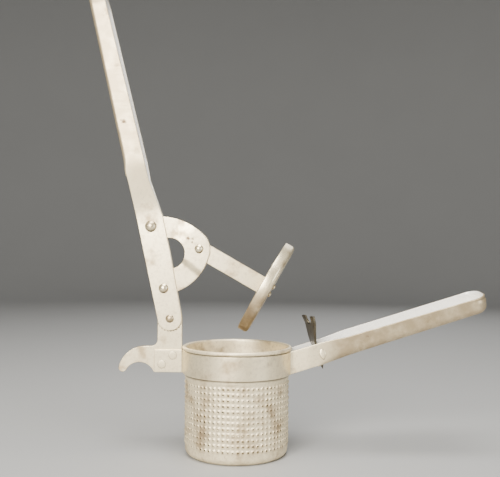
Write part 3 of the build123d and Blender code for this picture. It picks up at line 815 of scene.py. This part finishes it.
class RICER_OT_basket(Operator):
    """Drawn basket with its punched wall and base and its rolled rim"""

    bl_idname = "ricer.basket"
    bl_label = "Basket"

    def execute(self, context):
        size = context.scene.ricer_basket
        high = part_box("basket")[1]
        bead = size.bead / 2
        bead_middle = (high.x - bead, high.z - bead)
        plain = bead_middle[0] - bead + size.wall
        radius = plain - size.draw_in
        bm, painted_shade = mesh_with_painted_shade()
        wall = PunchedWall(bm, painted_shade, size, radius)
        for column in range(size.columns):
            for row in range(size.rows):
                wall.hole(column, row)
        around = 3 * size.columns

        def ring(reach, height):
            return [bm.verts.new(wall.point(i / 3, height, reach - wall.radius)) for i in range(around)]

        def run(profile, start, end=None):
            last = start
            for reach, height in profile:
                following = ring(reach, height)
                bridge(bm, last, following)
                last = following
            if end:
                bridge(bm, last, end)
            return last

        top = 3 * size.rows
        bead_low = degrees_where(plain, bead_middle, bead)
        rolled = arc(bead_middle, bead, bead_low - 360, 180, 26)
        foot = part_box("lower_handle")[0].z
        step_up = wall.high + 1.5 * MM
        outer = [(plain, step_up), (plain, foot - 2.0 * MM), (plain, foot - 0.7 * MM)]
        outer += [(plain, foot + 1 * MM), (plain, bead_middle[1] - bead)] + rolled
        inner = [(plain - size.wall, bead_middle[1] - 4 * MM), (plain - size.wall, step_up)]
        run(outer + inner, wall.row_ring(top, 0.0), wall.row_ring(top, -size.wall))

        corner_middle = (radius - size.corner, size.corner)
        outside = arc(corner_middle, size.corner, 0, -90, 8)
        inside = arc(corner_middle, size.corner - size.wall, 0, -90, 8)
        rim_low = run(outside, wall.row_ring(0, 0.0))
        rim_high = run(inside, wall.row_ring(0, -size.wall))
        punched_base(bm, painted_shade, size, corner_middle[0], rim_low, rim_high)

        # Painted shade on the outside wall from just below the ring's lower edge up to the bead, seen as
        # dark lines under the ring and under the bead.
        for vertex in bm.verts:
            height = vertex.co.z
            reach = vertex.co.xy.length
            if reach > plain - 0.05 * MM and height > foot - 1.2 * MM:
                under_bead = smooth((bead_middle[1] - height) / bead - 0.2)
                vertex[painted_shade] = max(vertex[painted_shade], under_bead * 0.9)

        spots = [
            (Vector((-0.022, -0.030, 0.022)), 9 * MM, 0.35),
            (Vector((0.006, -0.033, 0.008)), 12 * MM, 0.25),
        ]
        finish = tin("basket tin", dull=0.55, roughness=0.44, spots=spots, stained=0.35, metal=0.6)
        finish_piece("basket", bm, "basket", finish, ["basket"], sharp=50)
        return {"FINISHED"}


def degrees_where(radius, centre, bead):
    """Angle, in degrees, at which the bead's lower left side meets the wall's outside."""
    return 180 + atan2(sqrt(bead**2 - (centre[0] - radius) ** 2), centre[0] - radius) * 180 / pi


class RICER_OT_rim_wire(Operator):
    """Wire inside the rolled rim"""

    bl_idname = "ricer.rim_wire"
    bl_label = "Rim wire"

    def execute(self, context):
        low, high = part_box("rim_wire")
        thick = (high.z - low.z) / 2
        bm = bmesh.new()
        profile = arc((high.x - thick, (low.z + high.z) / 2), thick, 0, 360, 12)
        lathe(bm, profile, Vector((0, 0, 0)), UP, 96)
        finish = tin("rim wire steel", shade=0.8, dull=0.8)
        finish_piece("rim_wire", bm, "basket", finish, ["rim_wire"], sharp=60)
        return {"FINISHED"}


# ---------------------------------------------------------------------------------- lower handle
class RICER_OT_lower_handle(Operator):
    """Ring, clamp ends, straps and channel grip of the lower handle, one folded sheet"""

    bl_idname = "ricer.lower_handle"
    bl_label = "Lower handle"

    def execute(self, context):
        sheet = context.scene.ricer_sheet
        size = context.scene.ricer_handle
        half = sheet.thickness / 2
        low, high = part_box("lower_handle")
        foot, ring_outer = low.z, high.y
        ring_top = frame_ring_top()
        ring = ring_outer - half
        clamp_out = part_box("clamp_rivet_lower")[1].y - half

        root_y = size.strap_spread / 2 - half
        root_x = sqrt(ring**2 - root_y**2)
        meet_x = -sqrt(ring**2 - clamp_out**2)
        start_turn = atan2(clamp_out, -meet_x)
        end_turn = pi - asin(root_y / ring)
        bow = [
            (-ring * cos(start_turn + (end_turn - start_turn) * i / 90),
             -ring * sin(start_turn + (end_turn - start_turn) * i / 90))
            for i in range(91)
        ]
        neck = size.neck / 2 - half
        rise = tan(size.slope)
        along = Vector((cos(size.slope), 0, sin(size.slope)))
        up = Vector((-sin(size.slope), 0, cos(size.slope)))
        lip_start = Vector((size.grip_start, 0, ring_top + (size.grip_start - root_x) * rise))
        grip = (size.grip_reach - size.grip_start) / cos(size.slope)
        strap_foot = lip_start.z - size.depth_start / cos(size.slope)

        strap_end = size.grip_start - 8 * MM
        flat = [(low.x, -clamp_out)] + bow + [(size.flare_end, -neck), (strap_end, -neck)]
        flat = resample(flat, 1.1 * MM)
        bend_in, bend_out, clamp_flat = -36 * MM, 34 * MM, -50 * MM
        flat = relax(flat, 5, lambda p: bend_in < p.x < bend_out or p.x < clamp_flat)
        stations = []
        lean = size.depth_start * sin(size.slope)
        ease_start = 62 * MM
        curl_start = 60 * MM
        for point in flat:
            lip_z = ring_top + max(0, point.x - root_x) * rise
            share = max(0.0, (point.x - root_x) / (size.grip_start - root_x))
            foot_z = foot + (strap_foot - foot) * share
            ease = max(0.0, (point.x - ease_start) / (size.grip_start - ease_start))
            curl = max(0.0, min(1.0, (point.x - curl_start) / (strap_end - curl_start)))
            lip = Vector((point.x, point.y, lip_z))
            inset = size.draft * ease**2
            place = Vector((point.x + lean * ease**2, point.y + inset, foot_z + 1.0 * MM * ease))
            stations.append(Station(lip, place, curl=curl))

        end = grip - half
        end_half = size.end_width / 2 - half
        corner = size.end_round - half
        plan = [(0, -neck), (size.fold * 3, -neck), (end - corner, -end_half + 0.4 * MM)]
        plan += arc((end - corner, -end_half + corner), corner, -90, 0, 14)
        plan += [(end, 0)]
        for point in resample(plan, 1.6 * MM):
            depth = size.depth_start + (size.depth_end - size.depth_start) * point.x / grip - half
            lip = lip_start + along * point.x + Vector((0, point.y, 0))
            middle = lip_start + along * min(point.x, end - corner * 0.6) - up * depth
            inset = Vector((0, min(size.draft, -point.y * 0.2), 0))
            stations.append(Station(lip, lip - up * depth + inset, middle))

        tip = lip_start + along * end

        def shape_wall(station, share, point):
            """Wander a little from flat, and press the end in below its lip."""
            if station.centre is None:
                return point
            reach = (station.lip - lip_start).dot(along)
            near_end = smooth(1 - (end - reach) / (corner * 1.5))
            waist = sin(pi * min(1.0, share * 1.9)) ** 2
            press = (0.5 * (1 - share) ** 4 - 0.8 * waist + 0.5 * sin(pi * share) ** 2) * MM
            outwards = point - tip + along * corner * 1.5
            outwards.z = 0
            point = point + outwards.normalized() * press * near_end
            swell = min(1.0, reach / (20 * MM)) * sheet.wave * wander(station.lip, sheet.wave_length)
            return point + Vector((0, swell, 0)) * (1 - near_end)

        bm = bmesh.new()
        folded_sheet(bm, stations, size.fold - half, 10, 7, 6, shape_wall)
        mirror_half(bm)
        for vertex in bm.verts:
            share = smooth((vertex.co.x - size.twist_start) / size.twist_run)
            reach = (vertex.co - lip_start).dot(along)
            line = lip_start + along * reach - up * size.depth_start * 0.45
            vertex.co = line + Quaternion(along, size.twist * share) @ (vertex.co - line)
        grip_spot = lip_start + along * 17 * MM - up * 5.2 * MM - Vector((0, neck, 0))
        spots = [
            (grip_spot, 2.2 * MM, 0.75),
            (grip_spot + along * 57 * MM + up * 4.5 * MM, 2.0 * MM, 0.5),
            (Vector((low.x + 21.5 * MM, -0.004, ring_top)), 3.5 * MM, 0.5),
        ]
        # The darkening along X is painted shade on the grip, from the straps' ends on.
        finish = tin(
            "handle tin", dull=0.35, grain=-size.slope, spots=spots,
            darkening_ramp=("X", 57 * MM, 78 * MM, 0.95),
        )
        piece = finish_piece("lower_handle", bm, "frame", finish, ["lower_handle"])
        # The inside is a near-white, less metallic copy of the tin: a painted highlight where light falls
        # into the channel.
        inside = tin("handle tin inside, painted highlight", dull=0.1, roughness=0.3, stained=0.12, clean=1.0, metal=0.15)
        thicken(piece, sheet.thickness, sheet.easing, inside)
        return {"FINISHED"}


def frame_ring_top():
    """Height of the ring's top edge, a little under the basket's rolled rim."""
    size = bpy.context.scene.ricer_basket
    gap = 0.3 * MM
    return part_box("basket")[1].z - size.bead - gap


# ----------------------------------------------------------------------------------------- lever
class RICER_OT_lever(Operator):
    """Lever: two cheeks that lie together low down and spread into a channel grip"""

    bl_idname = "ricer.lever"
    bl_label = "Lever"

    def execute(self, context):
        sheet = context.scene.ricer_sheet
        size = context.scene.ricer_lever
        half = sheet.thickness / 2
        along, out = lever_directions(context.scene)

        def blend_along(a, *stops):
            """Value at a distance along the lever, straight between (distance, value) stops."""
            for (a0, v0), (a1, v1) in zip(stops, stops[1:]):
                if a <= a1:
                    return v0 + (v1 - v0) * max(0.0, (a - a0) / (a1 - a0))
            return stops[-1][1]

        def lip_out(a):
            if a < 0:
                return sqrt(max(0.0, size.heel**2 - a**2))
            return blend_along(
                a, (0, size.heel),
                (size.shoulder_start, size.shoulder), (size.shoulder_end, size.shoulder),
                (size.lip_step, size.lip), (size.spread_end, size.lip), (size.reach, size.lip_end),
            )

        def back_out(a):
            if a < 0:
                return -sqrt(max(0.0, size.heel**2 - a**2))
            stops = ((0, size.heel), (size.web_start, size.back), (size.reach, size.back_end))
            return -blend_along(a, *stops)

        low_half = size.cheek - half
        neck = size.neck / 2 - half
        end_half = size.end_width / 2 - half
        end = size.reach - half
        corner = size.end_round - half
        heel = [(-size.heel * cos(pi / 2 * i / 12) * 0.999, -low_half) for i in range(12)]
        plan = [(0, -low_half), (size.spread_start, -low_half), (size.spread_end, -neck)]
        plan += [(end - corner, -end_half)]
        plan += arc((end - corner, -end_half + corner), corner, -90, 0, 14)
        plan += [(end, 0)]
        spread_low, spread_high = 60 * MM, 150 * MM
        line = relax(resample(plan, 2.0 * MM), 12, lambda p: p.x < spread_low or p.x > spread_high)
        stations = []
        for point in [Vector(p) for p in heel] + line:
            a, y = point
            lip = lever_pivot + along * a + out * lip_out(a) + Vector((0, y, 0))
            curl = smooth(1 - (size.web_start - a) / size.curl_run)
            back = lever_pivot + along * a + out * (back_out(a) + half * curl)
            foot = back + Vector((0, y, 0))
            centre = None
            if a >= size.web_start:
                centre = lever_pivot + along * min(a, end - corner * 0.6) + out * (back_out(a) + half)
            stations.append(Station(lip, foot, centre, curl))

        def shape_wall(station, share, point):
            """Wander a little from flat, and dip the middle of the end's lip."""
            if station.centre is None:
                return point
            reach = (station.lip - lever_pivot).dot(along)
            near_end = max(0.0, 1 - (end - reach) / (corner * 1.2))
            swell = min(1.0, (reach - size.web_start) / (20 * MM)) * sheet.wave
            point = point + Vector((0, swell * wander(station.lip, sheet.wave_length), 0)) * (1 - near_end)
            dip = -1.2 * MM * near_end * (1 - share) * max(0.0, cos(point.y / (8 * MM) * pi / 2))
            return point + out * dip

        bm = bmesh.new()
        folded_sheet(bm, stations, size.fold - half, 10, 7, 5, shape_wall)
        mirror_half(bm)
        face = Vector((0, -neck, 0))

        def on_cheek(a, o):
            return lever_pivot + along * a + out * o + face

        spots = [
            (on_cheek(152 * MM, -3.5 * MM), 4.2 * MM, 0.85),
            (on_cheek(147 * MM, 2.5 * MM), 2.0 * MM, 0.4),
            (on_cheek(188 * MM, 1.0 * MM), 2.2 * MM, 0.5),
            (on_cheek(194 * MM, 0.5 * MM), 5.0 * MM, 0.25),
            (on_cheek(218 * MM, -4.0 * MM), 2.0 * MM, 0.35),
            (on_cheek(128 * MM, 2.0 * MM), 5.0 * MM, 0.2),
        ]
        # The darkening along Z makes the lever darker towards its top.
        finish = tin(
            "lever tin", dull=0.35, grain=pi / 2 - size.lean, spots=spots, stained=0.2,
            darkening_ramp=("Z", 175 * MM, 240 * MM, 0.75),
        )
        piece = finish_piece("upper_handle", bm, "lever", finish, ["upper_handle"])
        # The inside is a near-white, less metallic copy of the tin: a painted highlight where light falls
        # into the channel.
        inside = tin("lever tin inside, painted highlight", dull=0.1, roughness=0.3, stained=0.1, clean=1.0, metal=0.15)
        thicken(piece, sheet.thickness, sheet.easing, inside)
        return {"FINISHED"}


# ----------------------------------------------------------------------------------- flat pieces
class RICER_OT_hook_plate(Operator):
    """Upright plate with the pot hook"""

    bl_idname = "ricer.hook_plate"
    bl_label = "Hook plate"

    def execute(self, context):
        # Painted shadow: a ring of dark spots just outside the lever's heel darkens the plate.
        reach = context.scene.ricer_lever.heel + 0.2 * MM
        heel = lever_pivot - Vector((0, 1.5 * MM, 0))
        spots = [
            (heel + Vector((sin(turn), 0, -cos(turn))) * reach, 1.5 * MM, 0.85)
            for turn in (radians(step) for step in range(-66, 60, 14))
        ]
        finish = tin("hook steel", shade=0.98, dull=0.5, spots=spots, stained=0.3)
        eased_piece("hook_plate", node_mesh("hook_plate"), "frame", finish, 0.4 * MM)
        return {"FINISHED"}


class RICER_OT_bracket_plates(Operator):
    """The two stamped plates of the D-shaped bracket, pressed apart round the plunger's arm"""

    bl_idname = "ricer.bracket_plates"
    bl_label = "Bracket plates"

    def execute(self, context):
        size = context.scene.ricer_bracket
        along, out = lever_directions(context.scene)
        nose = Vector(((nose_pivot - lever_pivot).dot(along), (nose_pivot - lever_pivot).dot(out)))
        hole = Vector((size.hole_along, size.hole_out))
        foot_high, foot_low = (size.high, size.foot_out), (size.low, size.foot_out)
        crown_high = (nose.x + 7.6 * MM, size.reach - 1.3 * MM)
        crown_low = (nose.x - 3.6 * MM, size.reach - 0.7 * MM)
        outline = arc_through(foot_high, (nose.x + 20.2 * MM, nose.y - 3.6 * MM), crown_high, 16)
        outline += arc_through(crown_high, (nose.x + 2 * MM, size.reach), crown_low, 10)
        outline += arc_through(crown_low, (nose.x - 17.5 * MM, nose.y - 1.5 * MM), foot_low, 16)
        outline += [(size.low - 1.8 * MM, 0), (size.low, -size.back), (size.high - 1 * MM, -size.back)]
        outline += [(size.high + 2 * MM, 0)]
        outline = resample(outline + outline[:1], 0.7 * MM)[:-1]
        edge = sorted((atan2(p.y - hole.y, p.x - hole.x), (p - hole).length) for p in outline)
        edge = [(edge[-1][0] - 2 * pi, edge[-1][1])] + edge + [(edge[0][0] + 2 * pi, edge[0][1])]

        def edge_radius(turn):
            for (t0, r0), (t1, r1) in zip(edge, edge[1:]):
                if t0 <= turn <= t1:
                    return r0 + (r1 - r0) * (turn - t0) / max(t1 - t0, 1e-9)
            return edge[-1][1]

        limbs = ((-1, size.turn_low, size.run_low), (1, size.turn_high, size.run_high))

        def spread(point):
            """1 where the plates stand apart at the nose, 0 where they lie together."""
            limb, turn, run = limbs[point.x > hole.x]
            away = (point.x - nose.x) * limb * sin(turn) - (point.y - nose.y) * cos(turn)
            return 1 - smooth((away - size.press_start) / run)

        around, rows = 132, 12
        for node, side in (("bracket_plate_near", -1), ("bracket_plate_far", 1)):
            bm = bmesh.new()
            rings = []
            for row in range(rows + 1):
                ring = []
                for i in range(around):
                    turn = -pi + 2 * pi * (i + 0.5) / around
                    reach = size.hole_radius + (edge_radius(turn) - size.hole_radius) * row / rows
                    flat = hole + Vector((cos(turn), sin(turn))) * reach
                    place = lever_pivot + along * flat.x + out * flat.y
                    place.y = side * (size.sheet / 2 + size.gap * spread(flat))
                    ring.append(bm.verts.new(place))
                rings.append(ring)
            for low, high in zip(rings, rings[1:]):
                bridge(bm, low, high)
            spot = nose_pivot + along * 9.5 * MM - out * 6.5 * MM
            spot.y = side * (size.sheet + size.gap)
            spots = [(spot, 2.6 * MM, 0.95), (spot + out * 3.2 * MM - along * 0.9 * MM, 2.0 * MM, 0.7)]
            spots += [(spot + out * 2.4 * MM - along * 3.4 * MM, 1.7 * MM, 0.85)]
            spots += [(spot + out * 6.5 * MM - along * 6.5 * MM, 1.6 * MM, 0.5)]
            finish = tin(node.replace("_", " ") + " tin", dull=0.5, spots=spots, stained=0.2)
            piece = finish_piece(node, bm, "lever", finish, [node])
            thicken(piece, size.sheet, 0.4 * MM)
        return {"FINISHED"}


class RICER_OT_plunger_arm(Operator):
    """Plunger's flat arm"""

    bl_idname = "ricer.plunger_arm"
    bl_label = "Plunger arm"

    def execute(self, context):
        finish = tin("plunger arm tin", shade=0.97, dull=0.6, stained=0.35)
        eased_piece("plunger_arm", node_mesh("plunger_arm"), "plunger", finish, 0.4 * MM)
        return {"FINISHED"}


class RICER_OT_plunger_disc(Operator):
    """Plunger's pressed disc with its turned edge"""

    bl_idname = "ricer.plunger_disc"
    bl_label = "Plunger disc"

    def execute(self, context):
        size = context.scene.ricer_plunger
        axis = Vector((cos(size.angle), 0, sin(size.angle)))
        radius = size.disc / 2
        face, lip = size.drop, size.drop - size.depth
        corner, inner = size.corner, size.corner - size.sheet
        bend = (radius - corner, face - corner)
        outside = [(reach, height) for reach, height in arc(bend, corner, 90, 0, 7)]
        inside = [(reach, height) for reach, height in arc(bend, inner, 0, 90, 5)]
        edge = arc((radius - size.sheet / 2, lip + size.sheet / 2), size.sheet / 2, 0, -180, 8)
        plain = [(reach * MM, face) for reach in (6, 12, 18, 24, 30)]
        back = [(reach, face - size.sheet) for reach, _ in reversed(plain)]
        profile = [(0, face)] + plain + outside + [(radius, lip + 3 * MM)] + edge
        profile += [(radius - size.sheet, lip + 3 * MM)] + inside + back + [(0, face - size.sheet)]
        bm = bmesh.new()
        lathe(bm, profile, nose_pivot, axis, 144)
        for vertex in bm.verts:
            vertex.co += axis * 0.25 * MM * wander(vertex.co, 22 * MM)
        down = Vector((axis.z, 0, -axis.x))
        middle = nose_pivot + axis * (face - size.sheet / 2)
        for vertex in bm.verts:
            vertex.co = middle + Quaternion(down, size.tilt) @ (vertex.co - middle)
        rim = nose_pivot + axis * (face - size.depth / 2)
        spots = [
            (rim + down * radius * 0.93 - Vector((0, radius * 0.35, 0)), 9 * MM, 0.6),
            (rim + down * radius * 0.55 - Vector((0, radius * 0.83, 0)), 12 * MM, 0.55),
            (rim + down * radius * 0.25 - Vector((0, radius * 0.97, 0)), 7 * MM, 0.35),
            (rim + down * radius * 0.85 + Vector((0, radius * 0.4, 0)), 10 * MM, 0.6),
        ]
        # Painted light: the darkening along Z paints the disc's lower part in shade and leaves its upper
        # part light, a painted highlight.
        finish = tin(
            "plunger disc tin", dull=0.35, roughness=0.28, spots=spots, stained=0.35,
            darkening_ramp=("Z", 136 * MM, 112 * MM, 1.0),
        )
        finish_piece("plunger_disc", bm, "plunger", finish, ["plunger_disc"], sharp=50)
        return {"FINISHED"}


class RICER_OT_latch(Operator):
    """Forked latch between the straps"""

    bl_idname = "ricer.latch"
    bl_label = "Latch"

    def execute(self, context):
        size = context.scene.ricer_latch
        bm = node_mesh("basket_latch")
        low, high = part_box("basket_latch")
        straps = latch_pivot.z + size.strap_edge
        steps = 16
        for step in range(steps):
            height = straps - 4 * MM + (high.z - straps + 3.5 * MM) * step / steps
            geometry = bm.verts[:] + bm.edges[:] + bm.faces[:]
            bmesh.ops.bisect_plane(bm, geom=geometry, plane_co=(0, 0, height), plane_no=UP)
        tip = Vector((low.x + 1.5 * MM, 0, high.z))
        foot = Vector((latch_pivot.x - 3.5 * MM, 0, latch_pivot.z))
        for vertex in bm.verts:
            vertex.co.y *= 1 - size.play / high.y
            share = (vertex.co.z - straps) / (high.z - straps)
            turn = size.twist_low + (size.twist_high - size.twist_low) * max(0.0, share)
            turn *= smooth((vertex.co.z - foot.z) / (straps - foot.z))
            middle = foot.lerp(tip, (vertex.co.z - foot.z) / (tip.z - foot.z))
            middle.z = vertex.co.z
            vertex.co = middle + Quaternion(UP, turn) @ (vertex.co - middle)
            vertex.co.x += size.bend * max(0.0, share) ** 1.2
        finish = tin("latch tin", shade=0.11, dull=0.75, roughness=0.3, stained=0.6, metal=0.85)
        eased_piece("basket_latch", bm, "latch", finish, 0.35 * MM)
        return {"FINISHED"}


# ---------------------------------------------------------------------------------------- rivets
class RICER_OT_rivets(Operator):
    """Domed rivets of the lever, bracket and plunger, the clamp's flush rivets and the latch's pin"""

    bl_idname = "ricer.rivets"
    bl_label = "Rivets"

    # node, finish, body, shank and height of each head in millimetres, dullness
    DOMED = (
        ("lever_pivot_rivet", "lever pivot rivet steel", "frame", 4.0, 1.3, 0.8),
        ("bracket_rivet_upper", "upper bracket rivet steel", "lever", 5.0, 2.0, 0.4),
        ("bracket_rivet_lower", "lower bracket rivet steel", "lever", 4.6, 1.8, 0.4),
        ("plunger_pivot_rivet", "plunger pivot rivet steel", "lever", 4.4, 1.7, 0.4),
    )

    def execute(self, context):
        for node, title, body, shank, height, dull in self.DOMED:
            finish = tin(title, dull=dull, roughness=0.24, metal=0.85)
            self.domed(node, body, shank * MM, height * MM, finish)
        self.latch_pin()
        for node in ("clamp_rivet_lower", "clamp_rivet_upper"):
            self.flush(node)
        return {"FINISHED"}

    def domed(self, node, body, shank, height, finish):
        """A rivet with two domed heads."""
        centre, high = middle_and_corner(node)
        bm, painted_shade = mesh_with_painted_shade()
        domed_rivet(bm, painted_shade, centre, high.y - height, shank, 2 * (high.x - centre.x), height)
        finish_piece(node, bm, body, finish, [node], sharp=60)

    def latch_pin(self):
        """The latch's pin, and the lugs pressed up over its ends."""
        centre, high = middle_and_corner("latch_pin")
        pin, end, face = 1.7 * MM, high.y - 0.9 * MM, high.y - 1.0 * MM
        lug_width, lug_height, lug_lean = 5.0 * MM, 8.0 * MM, radians(12)
        bm, painted_shade = mesh_with_painted_shade()
        lathe(bm, [(0, end), (pin, end), (pin, -end), (0, -end)], centre, ACROSS, 24)
        for side in (-1, 1):
            place = Vector((centre.x, side * face, centre.z + 0.6 * MM))
            pressed_lug(bm, painted_shade, place, side, lug_width, lug_height, lug_lean)
        finish = tin("latch pin steel", dull=0.35)
        finish_piece("latch_pin", bm, "frame", finish, ["latch_pin"], sharp=60)

    def flush(self, node):
        """A rivet hammered almost flush, with painted shade in the groove round its edge."""
        centre, high = middle_and_corner(node)
        end, head, shank, sink = high.y, high.x - centre.x, 2.2 * MM, 1.2 * MM
        crown, ease = 0.12 * MM, 0.25 * MM
        half = [(0, end + crown), (head * 0.5, end + crown * 0.8), (head - 2.6 * ease, end + crown * 0.4)]
        half += [(head - ease, end), (head, end - ease), (shank, end - sink)]
        bm, painted_shade = mesh_with_painted_shade()
        profile = half + [(reach, -out) for reach, out in reversed(half)]
        for (reach, _), ring in zip(profile, lathe(bm, profile, centre, ACROSS, 36)):
            for vertex in ring:
                vertex[painted_shade] = 1.0 if reach > head - 1.5 * ease else 0.0
        finish = tin(node.replace("_", " ") + " steel", dull=0.55)
        finish_piece(node, bm, "frame", finish, [node], sharp=60)


# ----------------------------------------------------------------------------------------- stage
def area_light(name, place, size, power, tint):
    """Soft square light that looks at the middle of the ricer."""
    middle = Vector((0.03, 0, 0.13))
    data = bpy.data.lights.new(name, "AREA")
    data.size = size
    data.energy = power
    data.color = tint
    light = bpy.data.objects.new(name, data)
    light.location = place
    light.rotation_euler = (middle - Vector(place)).to_track_quat("-Z", "Y").to_euler()
    bpy.context.scene.collection.objects.link(light)


class RICER_OT_stage(Operator):
    """Pale floor that sweeps up all round, soft lights and the camera"""

    bl_idname = "ricer.stage"
    bl_label = "Stage"

    # name, place in metres, size, power in watts, tint
    LIGHTS = (
        ("key", (-0.35, -1.05, 0.50), 0.6, 26, (1.0, 0.965, 0.89)),
        ("top", (0.02, -0.30, 1.15), 0.7, 22, (1.0, 0.98, 0.94)),
        ("fill", (0.95, -0.8, 0.35), 0.6, 5, (0.95, 0.97, 1.0)),
        ("back", (0.3, 1.1, 0.8), 0.8, 4, (1.0, 1.0, 1.0)),
    )

    def execute(self, context):
        size = context.scene.ricer_stage
        bm = bmesh.new()
        sweep = arc((1.7, 0.9), 0.9, -90, 0, 16)
        profile = [(0, 0), (0.4, 0), (0.9, 0)] + sweep + [(2.6, 2.2)]
        lathe(bm, profile, Vector((0, 0, -0.02 * MM)), UP, 64)
        mesh = bpy.data.meshes.new("floor")
        bm.to_mesh(mesh)
        bm.free()
        mesh.shade_smooth()
        floor = bpy.data.objects.new("floor", mesh)
        context.scene.collection.objects.link(floor)
        material = bpy.data.materials.new("floor paint")
        make = Nodes(material)
        tone = make.ramp(make.noise(0.25, 2), 0.35, 0.65)
        base = make.mix(tone, rgba(size.floor, 0.985), rgba(size.floor))
        make.link(base, make.shader.inputs["Base Color"])
        make.shader.inputs["Roughness"].default_value = 0.75
        mesh.materials.append(material)

        for light in self.LIGHTS:
            area_light(*light)

        world = bpy.data.worlds.new("studio")
        world.use_nodes = True
        sky = world.node_tree.nodes["Background"]
        sky.inputs["Color"].default_value = (0.93, 0.94, 0.95, 1)
        sky.inputs["Strength"].default_value = 0.2
        context.scene.world = world

        data = bpy.data.cameras.new("camera")
        data.lens = size.lens
        data.clip_start = 0.01
        camera = bpy.data.objects.new("camera", data)
        camera.location = (size.side, -size.distance, size.height)
        camera.rotation_euler = (radians(90) + size.pitch, size.roll, 0)
        context.scene.collection.objects.link(camera)
        context.scene.camera = camera
        return {"FINISHED"}


# ----------------------------------------------------------------------------- panel and running
OPERATORS = (
    RICER_OT_stage,
    RICER_OT_basket,
    RICER_OT_rim_wire,
    RICER_OT_lower_handle,
    RICER_OT_hook_plate,
    RICER_OT_lever,
    RICER_OT_bracket_plates,
    RICER_OT_plunger_arm,
    RICER_OT_plunger_disc,
    RICER_OT_latch,
    RICER_OT_rivets,
)


class RICER_PT_pieces(Panel):
    """Sizes, colours and pieces of the ricer"""

    bl_label = "Potato Ricer"
    bl_idname = "RICER_PT_pieces"
    bl_space_type = "VIEW_3D"
    bl_region_type = "UI"
    bl_category = "Ricer"

    def draw(self, context):
        for operator in OPERATORS:
            self.layout.operator(operator.bl_idname)
        for group, kind in GROUPS.items():
            box = self.layout.box()
            for size in kind.__annotations__:
                box.prop(getattr(context.scene, group), size)


def register():
    for group, kind in GROUPS.items():
        bpy.utils.register_class(kind)
        setattr(bpy.types.Scene, group, PointerProperty(type=kind))
    for operator in OPERATORS:
        bpy.utils.register_class(operator)
    bpy.utils.register_class(RICER_PT_pieces)


def unregister():
    bpy.utils.unregister_class(RICER_PT_pieces)
    for operator in reversed(OPERATORS):
        bpy.utils.unregister_class(operator)
    for group, kind in GROUPS.items():
        delattr(bpy.types.Scene, group)
        bpy.utils.unregister_class(kind)


def main():
    register()
    for operator in OPERATORS:
        section, name = operator.bl_idname.split(".")
        getattr(getattr(bpy.ops, section), name)()


if __name__ == "__main__":
    main()
